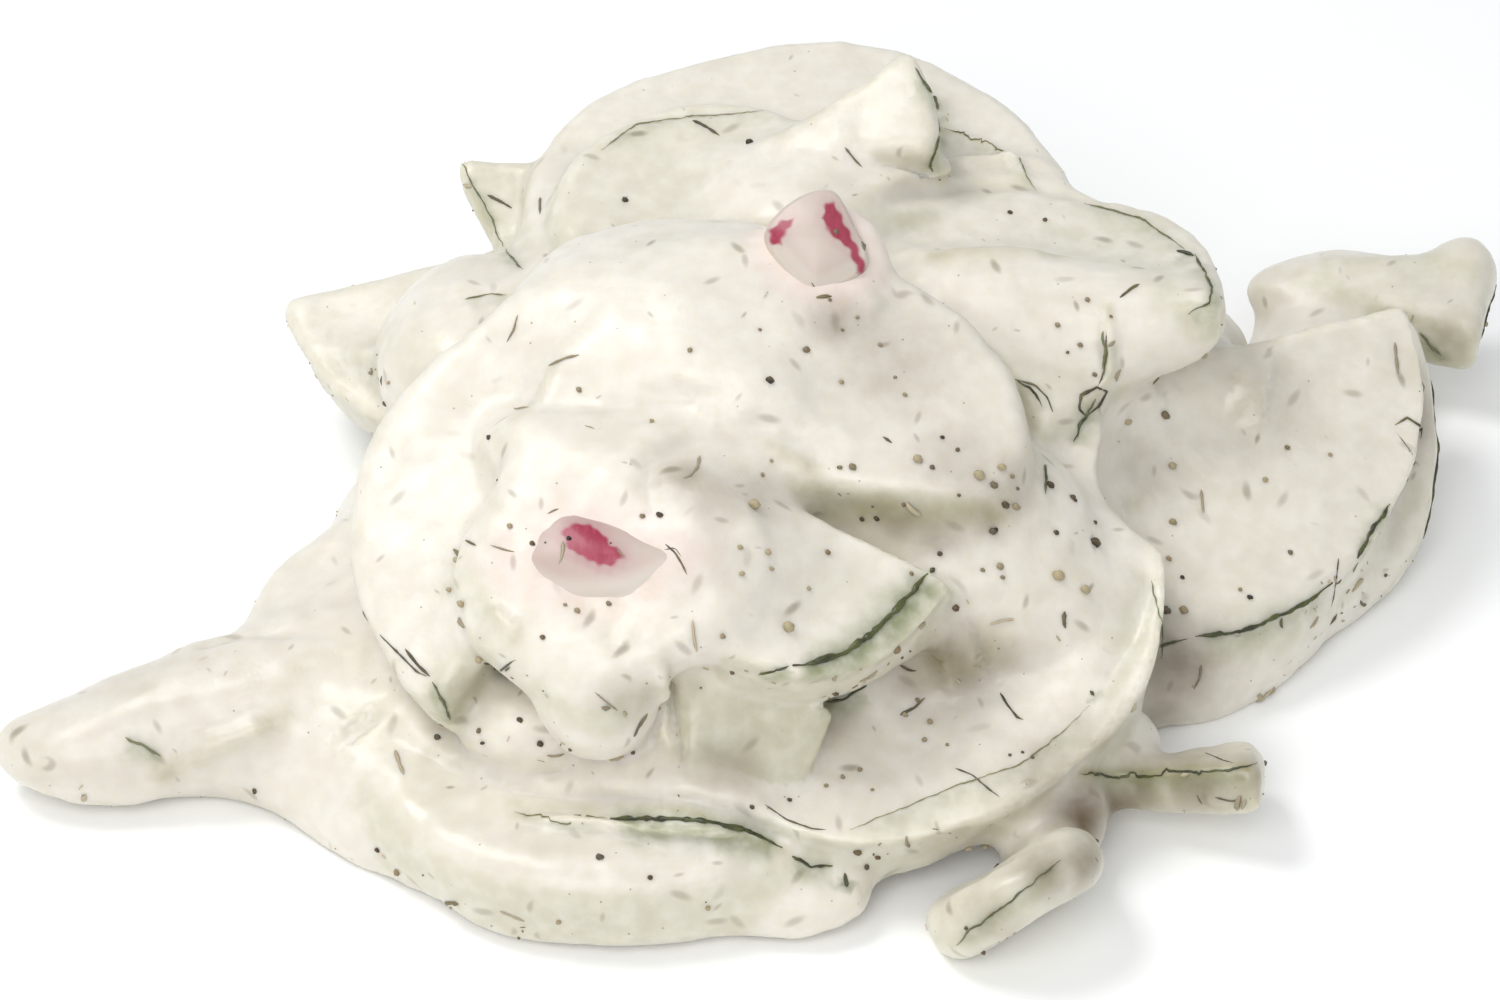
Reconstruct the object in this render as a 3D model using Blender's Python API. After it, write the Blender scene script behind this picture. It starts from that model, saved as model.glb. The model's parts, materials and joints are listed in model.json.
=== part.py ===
# Creamy cucumber salad: a spooned heap of cucumber slices bound in thick dill dressing,
# with two pieces of radish on top. Metres, +Z up, the front of the heap towards -Y.
# The origin is the middle of the flat underside.
import math
import random
from collections import namedtuple

import bmesh
import bpy
from mathutils import Matrix, Vector, noise

MM = 0.001

# Driving sizes, in millimetres. Slices are measured over their coat of dressing.
CORE_SIZE = (36.0, 27.0, 24.0)
CORE_UNEVENNESS = 1.2
WOBBLE_SHARE = 0.025
RADISH_THICKNESS = 5.0
POCKET_GAP = 0.4
FLOOR_CUT = (300.0, 300.0, 60.0)

# Facets of a slice: points round a whole outline, and rings as (share of the way out from
# its middle, share of half its thickness).
OUTLINE_POINTS = 23
SLICE_RINGS = (
    (0.55, 1.0),
    (0.9, 0.94),
    (1.0, 0.5),
    (1.0, -0.5),
    (0.9, -0.94),
    (0.55, -1.0),
)

# Chopped dill and ground pepper, fused to the heap and kept clear of the radish.
DILL_COUNT = 56
DILL_LENGTHS = (2.4, 5.2)
DILL_THICKNESS = 0.7
PEPPER_COUNT = 27
PEPPER_SIZES = (0.9, 1.4)
LOWEST_FLAKE = 4.0
RADISH_CLEARANCE = 3.6
FLAKE_SEED = 11

# One slice or cut piece. at: the middle, in mm. lean: degrees from lying flat. faces: the
# heading in plan that its upper face leans towards, -90 for the front. begins and sweep: the
# arc of skin in degrees, 360 for a whole slice. curl: how far its sides bend up, in mm.
Slice = namedtuple("Slice", "at lean faces radius thick begins sweep curl")
SLICES = {
    "base_front": Slice((-9.8, -14.2, 4.0), 0, -90, 24.5, 8.0, 0, 360, 0.0),
    "front_dish": Slice((10.0, -12.6, 13.4), 22, -80, 21.8, 6.3, 0, 360, 2.5),
    "front_left": Slice((-9.0, -7.0, 7.6), 6, -90, 23.0, 6.0, 0, 360, 0.0),
    "left_half": Slice((-12.4, -14.3, 23.0), 32, -115, 18.5, 6.0, 55, 177, 0.0),
    "crown": Slice((2.2, -13.8, 25.0), 24, -80, 20.4, 6.0, -5, 191, 0.0),
    "centre_wedge": Slice((3.0, -15.4, 23.7), 28, -70, 13.4, 6.5, -110, 88, 0.0),
    "back_top": Slice((3.9, 20.4, 23.0), 8, -90, 22.3, 6.0, 0, 360, 0.0),
    "right_top": Slice((21.3, 8.4, 27.0), -9, -90, 16.0, 4.0, -15, 202, 0.0),
    "right_top_wedge": Slice((14.0, 11.5, 27.0), 25, -75, 18.0, 6.0, -58, 50, 0.0),
    "right_half": Slice((32.8, 10.6, 17.4), 32, -70, 21.8, 6.0, -150, 171, 0.0),
    "right_under": Slice((38.6, 14.6, 8.6), 32, -86, 18.4, 5.5, -165, 195, 0.0),
    "right_end": Slice((45.5, 32.6, 8.6), 5, -80, 17.3, 6.5, -25, 38, 0.0),
    "left_wedge": Slice((-20.0, 29.0, 15.2), 22, -120, 19.6, 6.4, 189, 106, 0.0),
    "top_left_wedge": Slice((-14.0, 29.5, 24.5), 40, -100, 10.0, 5.0, 175, 68, 0.0),
    "left_tongue": Slice((-58.0, -19.5, 3.5), -4, -90, 30.0, 6.0, -4, 34, 0.0),
    "left_under": Slice((-29.5, -11.0, 7.0), 10, -130, 11.0, 7.0, 0, 360, 0.0),
    "right_tongue": Slice((26.0, -24.0, 4.0), -28, -80, 14.0, 4.5, -22, 37, 0.0),
    "front_tongue": Slice((20.3, -36.0, 4.6), 53, 128, 7.1, 4.8, 0, 360, 0.0),
    "standing_wedge": Slice((2.1, 24.8, 29.2), 35, -110, 13.6, 6.0, -12, 41, 0.0),
    "inner_slice": Slice((-3.0, 18.1, 26.0), 12, -90, 13.0, 5.0, 0, 360, 0.0),
    "right_knob": Slice((29.0, 2.5, 17.0), 40, -40, 5.5, 5.0, 0, 360, 0.0),
    "front_lump": Slice((-11.0, -32.0, 15.6), 45, -100, 10.5, 6.0, 50, 80, 0.0),
    "front_chunk": Slice((-6.0, -23.2, 16.3), 50, -80, 13.0, 5.0, -80, 68, 0.0),
    "back_left": Slice((-16.0, 24.0, 13.0), 38, 125, 17.0, 6.0, 0, 360, 1.0),
    "back_middle": Slice((4.0, 29.0, 14.0), 42, 95, 20.0, 6.0, 0, 360, 1.0),
    "back_right": Slice((19.0, 24.0, 11.0), 36, 65, 15.5, 6.0, 0, 360, 0.0),
    "back_low": Slice((8.0, 28.0, 4.0), 4, 90, 20.0, 6.0, 0, 360, 0.0),
    "left_low": Slice((-15.0, 8.0, 5.0), 8, 180, 17.0, 6.0, 0, 360, 0.0),
}

# Thick dressing pooled between the slices, as half-sizes of an egg shape and its turn in plan.
Blob = namedtuple("Blob", "at size turn")
DRESSING = (
    Blob((-11.0, -10.5, 27.8), (9.5, 5.0, 4.2), 0),
    Blob((-3.0, -8.0, 30.3), (7.0, 3.2, 3.0), -8),
    Blob((-21.5, 11.5, 18.5), (8.5, 10.0, 7.0), 0),
    Blob((-29.0, -15.5, 2.5), (12.5, 11.0, 7.0), 0),
    Blob((-21.5, -22.8, 1.0), (12.0, 8.0, 4.5), 0),
    Blob((-44.5, -18.3, 4.5), (14.0, 5.2, 4.6), 12),
    Blob((-39.5, -16.0, 7.0), (10.0, 4.5, 3.6), 14),
    Blob((47.0, 33.5, 8.0), (5.0, 3.5, 2.5), 0),
    Blob((48.5, 27.5, 4.0), (6.5, 7.0, 5.5), 0),
    Blob((33.0, -5.5, 1.5), (7.0, 6.0, 4.5), 0),
    Blob((40.0, 12.0, 3.0), (15.0, 14.0, 6.0), 20),
    Blob((-4.0, -18.0, 22.0), (9.0, 8.0, 6.0), 0),
    Blob((-4.8, 2.3, 30.3), (13.5, 10.0, 5.5), 0),
    Blob((15.0, -9.0, 20.0), (10.5, 7.5, 5.5), 0),
    Blob((-13.0, -23.5, 19.0), (5.0, 4.0, 4.0), 0),
    Blob((-3.0, -21.8, 15.0), (4.5, 4.0, 4.0), 0),
    Blob((-6.4, -29.0, 9.5), (7.0, 4.0, 2.5), -35),
    Blob((-8.0, -23.5, 12.0), (3.5, 4.0, 3.0), 0),
    Blob((4.5, 20.5, 28.0), (7.5, 5.5, 3.4), 0),
    Blob((10.7, 22.8, 25.5), (5.0, 3.5, 3.0), 0),
    Blob((36.2, 20.0, 11.0), (5.5, 5.5, 5.5), 0),
    Blob((23.0, -26.5, 3.5), (4.8, 5.0, 4.0), 0),
    Blob((27.8, -19.8, 4.0), (4.5, 4.0, 4.2), 0),
    Blob((-17.0, -24.0, 11.3), (5.0, 4.0, 3.5), 0),
    Blob((61.0, 34.0, 9.5), (2.4, 3.0, 3.0), 0),
    Blob((-11.3, -27.6, 17.2), (4.6, 4.2, 5.6), 0),
    Blob((33.0, 15.0, 16.5), (6.0, 5.0, 4.0), 0),
    Blob((30.5, 7.0, 25.0), (6.5, 4.0, 3.6), 0),
    Blob((20.0, -13.5, 16.2), (7.0, 6.0, 4.0), 0),
    Blob((4.2, -34.6, 2.8), (5.0, 3.5, 2.8), 0),
    Blob((40.5, -3.0, 3.5), (13.0, 5.5, 5.5), 47),
    Blob((20.0, 8.0, 25.2), (10.0, 4.5, 3.6), 0),
    Blob((16.5, 23.5, 19.0), (9.0, 9.0, 5.0), 0),
)

# Pieces of radish, as an outline in the plane of the piece.
Radish = namedtuple("Radish", "at lean faces outline")
RADISHES = {
    "radish_upper": Radish(
        (5.1, 3.4, 36.0),
        42,
        -90,
        ((-4.0, 0.4), (-2.0, -3.0), (0.4, -4.3), (4.0, -2.0), (2.8, 1.6), (1.2, 4.0), (-1.8, 3.2)),
    ),
    "radish_lower": Radish(
        (-11.1, -21.8, 24.7),
        34,
        -105,
        (
            (-7.0, 0.2),
            (-4.2, -2.5),
            (-0.6, -3.4),
            (2.6, -3.2),
            (5.6, -1.6),
            (7.2, -0.2),
            (3.6, 1.6),
            (0.2, 3.2),
            (-3.0, 4.1),
            (-5.6, 2.5),
        ),
    ),
}

COLOURS = {
    "dressing": (0.87, 0.82, 0.72, 1.0),
    "radish": (0.86, 0.55, 0.60, 1.0),
}


def material(name, roughness):
    made = bpy.data.materials.new(name)
    made.use_nodes = True
    surface = made.node_tree.nodes["Principled BSDF"]
    surface.inputs["Base Color"].default_value = COLOURS[name]
    surface.inputs["Roughness"].default_value = roughness
    surface.inputs["Metallic"].default_value = 0.0
    return made


def placing(at, lean, faces):
    turn = Matrix.Rotation(math.radians(faces), 4, "Z")
    tip = Matrix.Rotation(math.radians(lean), 4, "Y")
    return Matrix.Translation(Vector(at) * MM) @ turn @ tip @ turn.inverted()


def link(name, mesh, matrix, collection=None):
    made = bpy.data.objects.new(name, mesh)
    made.matrix_world = matrix
    (collection or bpy.context.scene.collection).objects.link(made)
    return made


def mesh_of(form, name):
    bmesh.ops.recalc_face_normals(form, faces=form.faces)
    mesh = bpy.data.meshes.new(name)
    form.to_mesh(mesh)
    form.free()
    return mesh


def outline_of(piece, wobble_phase):
    """Points round a slice, in its own plane; a cut piece also has its inner corner."""
    whole = piece.sweep >= 360
    steps = OUTLINE_POINTS if whole else max(6, round(OUTLINE_POINTS * piece.sweep / 360))
    points = []
    for step in range(steps if whole else steps + 1):
        angle = math.radians(piece.begins + piece.sweep * step / steps)
        wobble = math.sin(3 * angle + wobble_phase) + 0.6 * math.sin(5 * angle - 2 * wobble_phase)
        reach = piece.radius * (1 + WOBBLE_SHARE * wobble)
        points.append(Vector((reach * math.cos(angle), reach * math.sin(angle), 0)))
    if not whole:
        points.append(Vector((0, 0, 0)))
    return points


def pillow_mesh(name, points, middle, half, grow=0.0, bend=0.0):
    """A flat piece with soft edges, lofted through rings of its outline."""
    form = bmesh.new()

    def vert(point, height):
        lift = bend * point.x ** 2
        return form.verts.new(Vector((point.x, point.y, height * (half + grow) + lift)) * MM)

    rings = []
    for share, height in SLICE_RINGS:
        ring = []
        for point in points:
            outward = point - middle
            ring.append(vert(middle + outward * share + outward.normalized() * grow, height))
        rings.append(ring)
    count = len(points)
    for upper, lower in zip(rings, rings[1:]):
        for k in range(count):
            form.faces.new((upper[k], lower[k], lower[(k + 1) % count], upper[(k + 1) % count]))
    top = vert(middle, 1.0)
    bottom = vert(middle, -1.0)
    for k in range(count):
        form.faces.new((top, rings[0][k], rings[0][(k + 1) % count]))
        form.faces.new((bottom, rings[-1][(k + 1) % count], rings[-1][k]))
    return mesh_of(form, name)


def slice_mesh(name, piece, wobble_phase):
    points = outline_of(piece, wobble_phase)
    middle = Vector() if piece.sweep >= 360 else sum(points, Vector()) / len(points)
    bend = piece.curl / piece.radius ** 2
    return pillow_mesh(name, points, middle, piece.thick / 2, bend=bend)


def radish_mesh(name, radish, grow=0.0):
    points = [Vector((x, y, 0)) for x, y in radish.outline]
    middle = sum(points, Vector()) / len(points)
    return pillow_mesh(name, points, middle, RADISH_THICKNESS / 2, grow=grow)


def blob_mesh(name, size, subdivisions):
    form = bmesh.new()
    bmesh.ops.create_icosphere(form, subdivisions=subdivisions, radius=1.0)
    for vert in form.verts:
        swell = 1 + CORE_UNEVENNESS / max(size) * noise.noise(vert.co * 3)
        vert.co = Vector([co * side for co, side in zip(vert.co, size)]) * swell * MM
    return mesh_of(form, name)


def dill_mesh(length, bow):
    """A chopped thread of dill along X: diamond section, tapered, bowed."""
    form = bmesh.new()
    rings = []
    for along, share in ((-0.5, 0.5), (-0.17, 1.0), (0.17, 1.0), (0.5, 0.4)):
        side = DILL_THICKNESS / 2 * share
        mid = bow * (0.25 - along ** 2) * 4
        corners = ((-side, 0), (0, -side), (side, 0), (0, side))
        rings.append([form.verts.new(Vector((along * length, mid + y, z)) * MM) for y, z in corners])
    for first, second in zip(rings, rings[1:]):
        for k in range(4):
            form.faces.new((first[k], first[(k + 1) % 4], second[(k + 1) % 4], second[k]))
    form.faces.new(rings[0])
    form.faces.new(rings[-1])
    return mesh_of(form, "dill")


def pepper_mesh(size):
    form = bmesh.new()
    bmesh.ops.create_icosphere(form, subdivisions=1, radius=size / 2 * MM)
    return mesh_of(form, "pepper")


def apply_boolean(target, operation, other):
    """Cuts or joins with an object or with a whole collection, and keeps the plain result."""
    boolean = target.modifiers.new(operation.title(), "BOOLEAN")
    boolean.operation = operation
    if isinstance(other, bpy.types.Collection):
        boolean.operand_type = "COLLECTION"
        boolean.collection = other
        helpers = list(other.objects)
    else:
        boolean.object = other
        helpers = [other]
    bpy.context.view_layer.update()
    evaluated = target.evaluated_get(bpy.context.evaluated_depsgraph_get())
    result = bpy.data.meshes.new_from_object(evaluated)
    target.modifiers.clear()
    target.data = result
    for helper in helpers:
        bpy.data.objects.remove(helper)
    if isinstance(other, bpy.types.Collection):
        bpy.data.collections.remove(other)


def new_collection(name):
    made = bpy.data.collections.new(name)
    bpy.context.scene.collection.children.link(made)
    return made


def build_heap():
    pieces = new_collection("pieces")
    for order, (name, piece) in enumerate(SLICES.items()):
        matrix = placing(piece.at, piece.lean, piece.faces)
        link(name, slice_mesh(name, piece, wobble_phase=order), matrix, pieces)
    for blob in DRESSING:
        turn = Matrix.Rotation(math.radians(blob.turn), 4, "Z")
        link("dressing", blob_mesh("dressing", blob.size, 2), placing(blob.at, 0, 0) @ turn, pieces)
    heap = link("salad_heap", blob_mesh("core", CORE_SIZE, 3), Matrix())
    apply_boolean(heap, "UNION", pieces)
    return heap


def flatten_underside(heap):
    form = bmesh.new()
    bmesh.ops.create_cube(form, size=1.0)
    bmesh.ops.scale(form, vec=Vector(FLOOR_CUT) * MM, verts=form.verts)
    bmesh.ops.translate(form, vec=Vector((0, 0, -FLOOR_CUT[2] / 2)) * MM, verts=form.verts)
    apply_boolean(heap, "DIFFERENCE", link("floor_cut", mesh_of(form, "floor_cut"), Matrix()))


def build_radishes(heap):
    """The pieces of radish, and a pocket for each in the heap."""
    made = []
    for name, radish in RADISHES.items():
        matrix = placing(radish.at, radish.lean, radish.faces)
        pocket = link("pocket", radish_mesh("pocket", radish, POCKET_GAP), matrix)
        apply_boolean(heap, "DIFFERENCE", pocket)
        made.append(link(name, radish_mesh(name, radish), matrix))
    return made


def spots_on(heap, radishes, count, rng):
    """Seeded places on the open surface of the heap: point, normal and a turn about it."""
    avoid = [radish.matrix_world @ vert.co for radish in radishes for vert in radish.data.vertices]
    heap.data.calc_loop_triangles()
    triangles = [tri for tri in heap.data.loop_triangles if tri.normal.z > -0.1]
    areas = [tri.area for tri in triangles]
    spots = []
    while len(spots) < count:
        tri = rng.choices(triangles, areas)[0]
        a, b, c = (heap.data.vertices[v].co for v in tri.vertices)
        s, t = sorted((rng.random(), rng.random()))
        point = a * s + b * (t - s) + c * (1 - t)
        turn = rng.uniform(0, math.tau)
        clear = min((point - other).length for other in avoid) > RADISH_CLEARANCE * MM
        if clear and point.z > LOWEST_FLAKE * MM:
            spots.append((point, tri.normal.copy(), turn))
    return spots


def fuse_flakes(heap, radishes):
    rng = random.Random(FLAKE_SEED)
    flakes = new_collection("flakes")
    spots = spots_on(heap, radishes, DILL_COUNT + PEPPER_COUNT, rng)
    for order, (point, normal, turn) in enumerate(spots):
        lie = normal.to_track_quat("Z", "Y").to_matrix().to_4x4() @ Matrix.Rotation(turn, 4, "Z")
        if order < DILL_COUNT:
            mesh = dill_mesh(rng.uniform(*DILL_LENGTHS), rng.uniform(-0.5, 0.5))
        else:
            mesh = pepper_mesh(rng.uniform(*PEPPER_SIZES))
        link("flake", mesh, Matrix.Translation(point) @ lie, flakes)
    apply_boolean(heap, "UNION", flakes)


def keep_largest_shell(heap):
    """One closed body: sealed hollows are filled and loose scraps are dropped."""
    form = bmesh.new()
    form.from_mesh(heap.data)
    waiting = set(form.verts)
    shells = []
    while waiting:
        shell = set()
        front = [waiting.pop()]
        while front:
            vert = front.pop()
            shell.add(vert)
            fresh = [edge.other_vert(vert) for edge in vert.link_edges]
            fresh = [other for other in fresh if other in waiting]
            waiting.difference_update(fresh)
            front.extend(fresh)
        shells.append(shell)
    shells.sort(key=len)
    for shell in shells[:-1]:
        bmesh.ops.delete(form, geom=list(shell), context="VERTS")
    form.to_mesh(heap.data)
    form.free()


def rest_on_origin(nodes):
    """Moves every mesh so that the middle of the underside is the origin."""
    corners = [node.matrix_world @ vert.co for node in nodes for vert in node.data.vertices]
    low = Vector([min(corner[axis] for corner in corners) for axis in range(3)])
    high = Vector([max(corner[axis] for corner in corners) for axis in range(3)])
    shift = Matrix.Translation(-Vector(((low.x + high.x) / 2, (low.y + high.y) / 2, low.z)))
    for node in nodes:
        node.data.transform(shift @ node.matrix_world)
        node.matrix_world = Matrix()


def main():
    for old in list(bpy.data.objects):
        bpy.data.objects.remove(old)
    heap = build_heap()
    flatten_underside(heap)
    radishes = build_radishes(heap)
    fuse_flakes(heap, radishes)
    keep_largest_shell(heap)
    rest_on_origin([heap, *radishes])
    heap.data.materials.clear()
    heap.data.materials.append(material("dressing", 0.3))
    skin = material("radish", 0.35)
    for radish in radishes:
        radish.data.materials.append(skin)


main()
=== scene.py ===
# Creamy cucumber salad: cucumber slices bound in thick dill dressing, with two pieces of
# radish on top. The heap is laid out in plan millimetres, with the camera's side towards -Y,
# and is turned to metres in the frame when its surface is made.
import json
import math
from functools import partial

import bmesh
import bpy
import numpy as np
import openvdb
from mathutils import Matrix, Vector
from mathutils.bvhtree import BVHTree

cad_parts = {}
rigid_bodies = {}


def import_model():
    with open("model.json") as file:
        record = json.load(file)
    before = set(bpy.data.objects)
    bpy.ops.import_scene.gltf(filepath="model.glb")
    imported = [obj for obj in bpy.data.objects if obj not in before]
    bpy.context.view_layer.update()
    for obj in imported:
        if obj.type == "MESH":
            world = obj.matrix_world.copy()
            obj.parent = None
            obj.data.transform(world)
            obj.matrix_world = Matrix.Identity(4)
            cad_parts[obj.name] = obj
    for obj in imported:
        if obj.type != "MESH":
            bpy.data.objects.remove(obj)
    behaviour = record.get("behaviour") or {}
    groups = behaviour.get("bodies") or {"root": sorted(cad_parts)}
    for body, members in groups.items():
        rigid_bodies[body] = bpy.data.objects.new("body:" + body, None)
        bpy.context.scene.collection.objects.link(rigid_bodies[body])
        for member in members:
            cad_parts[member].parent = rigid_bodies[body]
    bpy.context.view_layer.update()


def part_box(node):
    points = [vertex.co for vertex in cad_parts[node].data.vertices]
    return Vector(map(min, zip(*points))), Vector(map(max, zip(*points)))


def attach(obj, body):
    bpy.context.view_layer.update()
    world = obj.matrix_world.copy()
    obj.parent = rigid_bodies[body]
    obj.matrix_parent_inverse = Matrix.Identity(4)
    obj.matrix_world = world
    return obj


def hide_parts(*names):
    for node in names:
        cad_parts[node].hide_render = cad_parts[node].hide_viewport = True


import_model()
mm = 0.001


# Small helpers


def hexColour(code, alpha=1.0):
    # sRGB hex to the linear colour that the shaders want
    channels = [int(code[k:k + 2], 16) / 255 for k in (1, 3, 5)]
    linear = [c / 12.92 if c <= 0.04045 else ((c + 0.055) / 1.055) ** 2.4 for c in channels]
    return (*linear, alpha)


def addNode(tree, kind, inputs=None, **settings):
    # a node with its settings; an input takes a value, another node's output, or a node, which
    # stands for its first output
    node = tree.nodes.new(kind)
    for name, value in settings.items():
        setattr(node, name, value)
    for key, value in (inputs or {}).items():
        if isinstance(value, bpy.types.Node):
            value = value.outputs[0]
        if isinstance(value, bpy.types.NodeSocket):
            tree.links.new(value, node.inputs[key])
        else:
            node.inputs[key].default_value = value
    return node


def newMaterial(name):
    made = bpy.data.materials.new(name)
    made.use_nodes = True
    made.node_tree.nodes.clear()
    return made, made.node_tree


def newTree(name, inputs):
    # an empty geometry tree with its named inputs; returns the tree, its input node and its output node
    tree = bpy.data.node_groups.new(name, "GeometryNodeTree")
    tree.interface.new_socket("Geometry", in_out="INPUT", socket_type="NodeSocketGeometry")
    for label, kind in inputs.items():
        tree.interface.new_socket(label, in_out="INPUT", socket_type="NodeSocket" + kind)
    tree.interface.new_socket("Geometry", in_out="OUTPUT", socket_type="NodeSocketGeometry")
    return tree, tree.nodes.new("NodeGroupInput"), tree.nodes.new("NodeGroupOutput")


def linkObject(name, mesh):
    made = bpy.data.objects.new(name, mesh)
    bpy.context.scene.collection.objects.link(made)
    return made


def runTree(piece, tree, values):
    # sets the tree's inputs by their identifiers, then keeps the result as a plain mesh
    modifier = piece.modifiers.new(tree.name, "NODES")
    modifier.node_group = tree
    for item in tree.interface.items_tree:
        if item.in_out == "INPUT" and item.name in values:
            modifier[item.identifier] = values[item.name]
    applyModifiers(piece)


def applyModifiers(piece):
    bpy.context.view_layer.update()
    evaluated = piece.evaluated_get(bpy.context.evaluated_depsgraph_get())
    result = bpy.data.meshes.new_from_object(evaluated)
    piece.modifiers.clear()
    piece.data = result


def smoothStep(low, high, value):
    share = np.clip((value - low) / (high - low), 0.0, 1.0)
    return share * share * (3.0 - 2.0 * share)


# The slices, in plan mm. at: the middle. lean: degrees from lying flat. faces: the heading that
# the upper face leans towards, -90 for the front. begins and sweep: the arc of skin in degrees.
# curl: how far the sides bend up. dish: how far the upper face is hollow.

sliceColumns = ("at", "lean", "faces", "radius", "thick", "begins", "sweep", "curl", "dish")
sliceRows = {
    "baseFront": ((-9.8, -14.2, 4.0), 0, -90, 24.5, 8.0, 0, 360, 0.0, 0.0),
    "frontDish": ((10.0, -12.6, 13.4), 22, -80, 21.8, 6.3, 0, 360, 2.5, 2.0),
    "frontLeft": ((-9.0, -7.0, 7.6), 6, -90, 23.0, 6.0, 0, 360, 0.0, 0.0),
    "leftHalf": ((-12.4, -14.3, 23.0), 32, -115, 18.5, 6.0, 55, 177, 0.0, 0.0),
    "crown": ((2.2, -13.8, 25.0), 24, -80, 20.4, 6.0, -5, 191, 0.0, 0.0),
    "centreWedge": ((3.0, -15.4, 23.7), 28, -70, 13.4, 6.5, -110, 88, 0.0, 0.0),
    "backTop": ((3.9, 20.4, 23.0), 8, -90, 22.3, 6.0, 0, 360, 0.0, 0.0),
    "rightTop": ((21.3, 8.4, 27.0), -9, -90, 16.0, 4.0, -15, 202, 0.0, 1.0),
    "rightTopWedge": ((14.0, 11.5, 27.0), 25, -75, 18.0, 6.0, -58, 50, 0.0, 0.0),
    "rightHalf": ((32.8, 10.6, 17.4), 32, -70, 21.8, 6.0, -150, 171, 0.0, 0.5),
    "rightUnder": ((38.6, 14.6, 8.6), 32, -86, 18.4, 5.5, -165, 195, 0.0, 0.0),
    "rightEnd": ((45.5, 32.6, 8.6), 5, -80, 17.3, 6.5, -25, 38, 0.0, 0.0),
    "leftWedge": ((-20.0, 29.0, 15.2), 22, -120, 19.6, 6.4, 189, 106, 0.0, 0.8),
    "topLeftWedge": ((-14.0, 29.5, 24.5), 40, -100, 10.0, 5.0, 175, 68, 0.0, 0.4),
    "leftTongue": ((-58.0, -19.5, 3.5), -4, -90, 30.0, 6.0, -4, 34, 0.0, 0.0),
    "leftUnder": ((-29.5, -11.0, 7.0), 10, -130, 11.0, 7.0, 0, 360, 0.0, 0.0),
    "rightTongue": ((26.0, -24.0, 4.0), -28, -80, 14.0, 4.5, -22, 37, 0.0, 0.0),
    "frontTongue": ((20.3, -36.0, 4.6), 53, 128, 7.1, 4.8, 0, 360, 0.0, 0.0),
    "standingWedge": ((2.1, 24.8, 29.2), 35, -110, 13.6, 6.0, -12, 41, 0.0, 0.0),
    "innerSlice": ((-3.0, 18.1, 26.0), 12, -90, 13.0, 5.0, 0, 360, 0.0, 0.6),
    "rightKnob": ((29.0, 2.5, 17.0), 40, -40, 5.5, 5.0, 0, 360, 0.0, 0.0),
    "frontLump": ((-11.0, -32.0, 15.6), 45, -100, 10.5, 6.0, 50, 80, 0.0, 0.0),
    "frontChunk": ((-6.0, -23.2, 16.3), 50, -80, 13.0, 5.0, -80, 68, 0.0, 0.0),
    "backLeft": ((-16.0, 24.0, 13.0), 38, 125, 17.0, 6.0, 0, 360, 1.0, 0.6),
    "backMiddle": ((4.0, 29.0, 14.0), 42, 95, 20.0, 6.0, 0, 360, 1.0, 0.8),
    "backRight": ((19.0, 24.0, 11.0), 36, 65, 15.5, 6.0, 0, 360, 0.0, 0.4),
    "backLow": ((8.0, 28.0, 4.0), 4, 90, 20.0, 6.0, 0, 360, 0.0, 0.0),
    "leftLow": ((-15.0, 8.0, 5.0), 8, 180, 17.0, 6.0, 0, 360, 0.0, 0.0),
}
slices = {name: dict(zip(sliceColumns, row)) for name, row in sliceRows.items()}

# where the coat differs from the usual, in mm: radius of its edges, reach over which it melts
# into the rest, and softness of the corner between its two cuts
coatRows = {
    "crown": (1.6, 2.2, 8.0),
    "innerSlice": (1.6, 2.5, 1.0),
    "standingWedge": (1.0, 2.0, 2.0),
    "leftHalf": (1.6, 3.0, 1.0),
    "frontDish": (0.6, 1.2, 0.8),
    "rightHalf": (0.7, 1.2, 1.5),
    "centreWedge": (0.6, 1.6, 5.0),
    "frontLump": (2.6, 3.0, 6.0),
    "frontChunk": (0.8, 0.8, 0.8),
    "frontLeft": (0.8, 0.6, 1.0),
    "rightTongue": (1.5, 1.6, 2.5),
    "leftTongue": (1.8, 3.0, 2.0),
    "leftUnder": (2.5, 3.0, 1.0),
    "rightKnob": (2.0, 3.0, 1.0),
    "rightEnd": (2.2, 2.5, 4.0),
    "frontTongue": (2.3, 1.4, 1.0),
    "baseFront": (3.0, 2.0, 1.0),
    "rightTop": (1.3, 3.5, 1.0),
    "rightTopWedge": (1.4, 3.5, 2.0),
    "backTop": (1.6, 2.0, 1.0),
}

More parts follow.
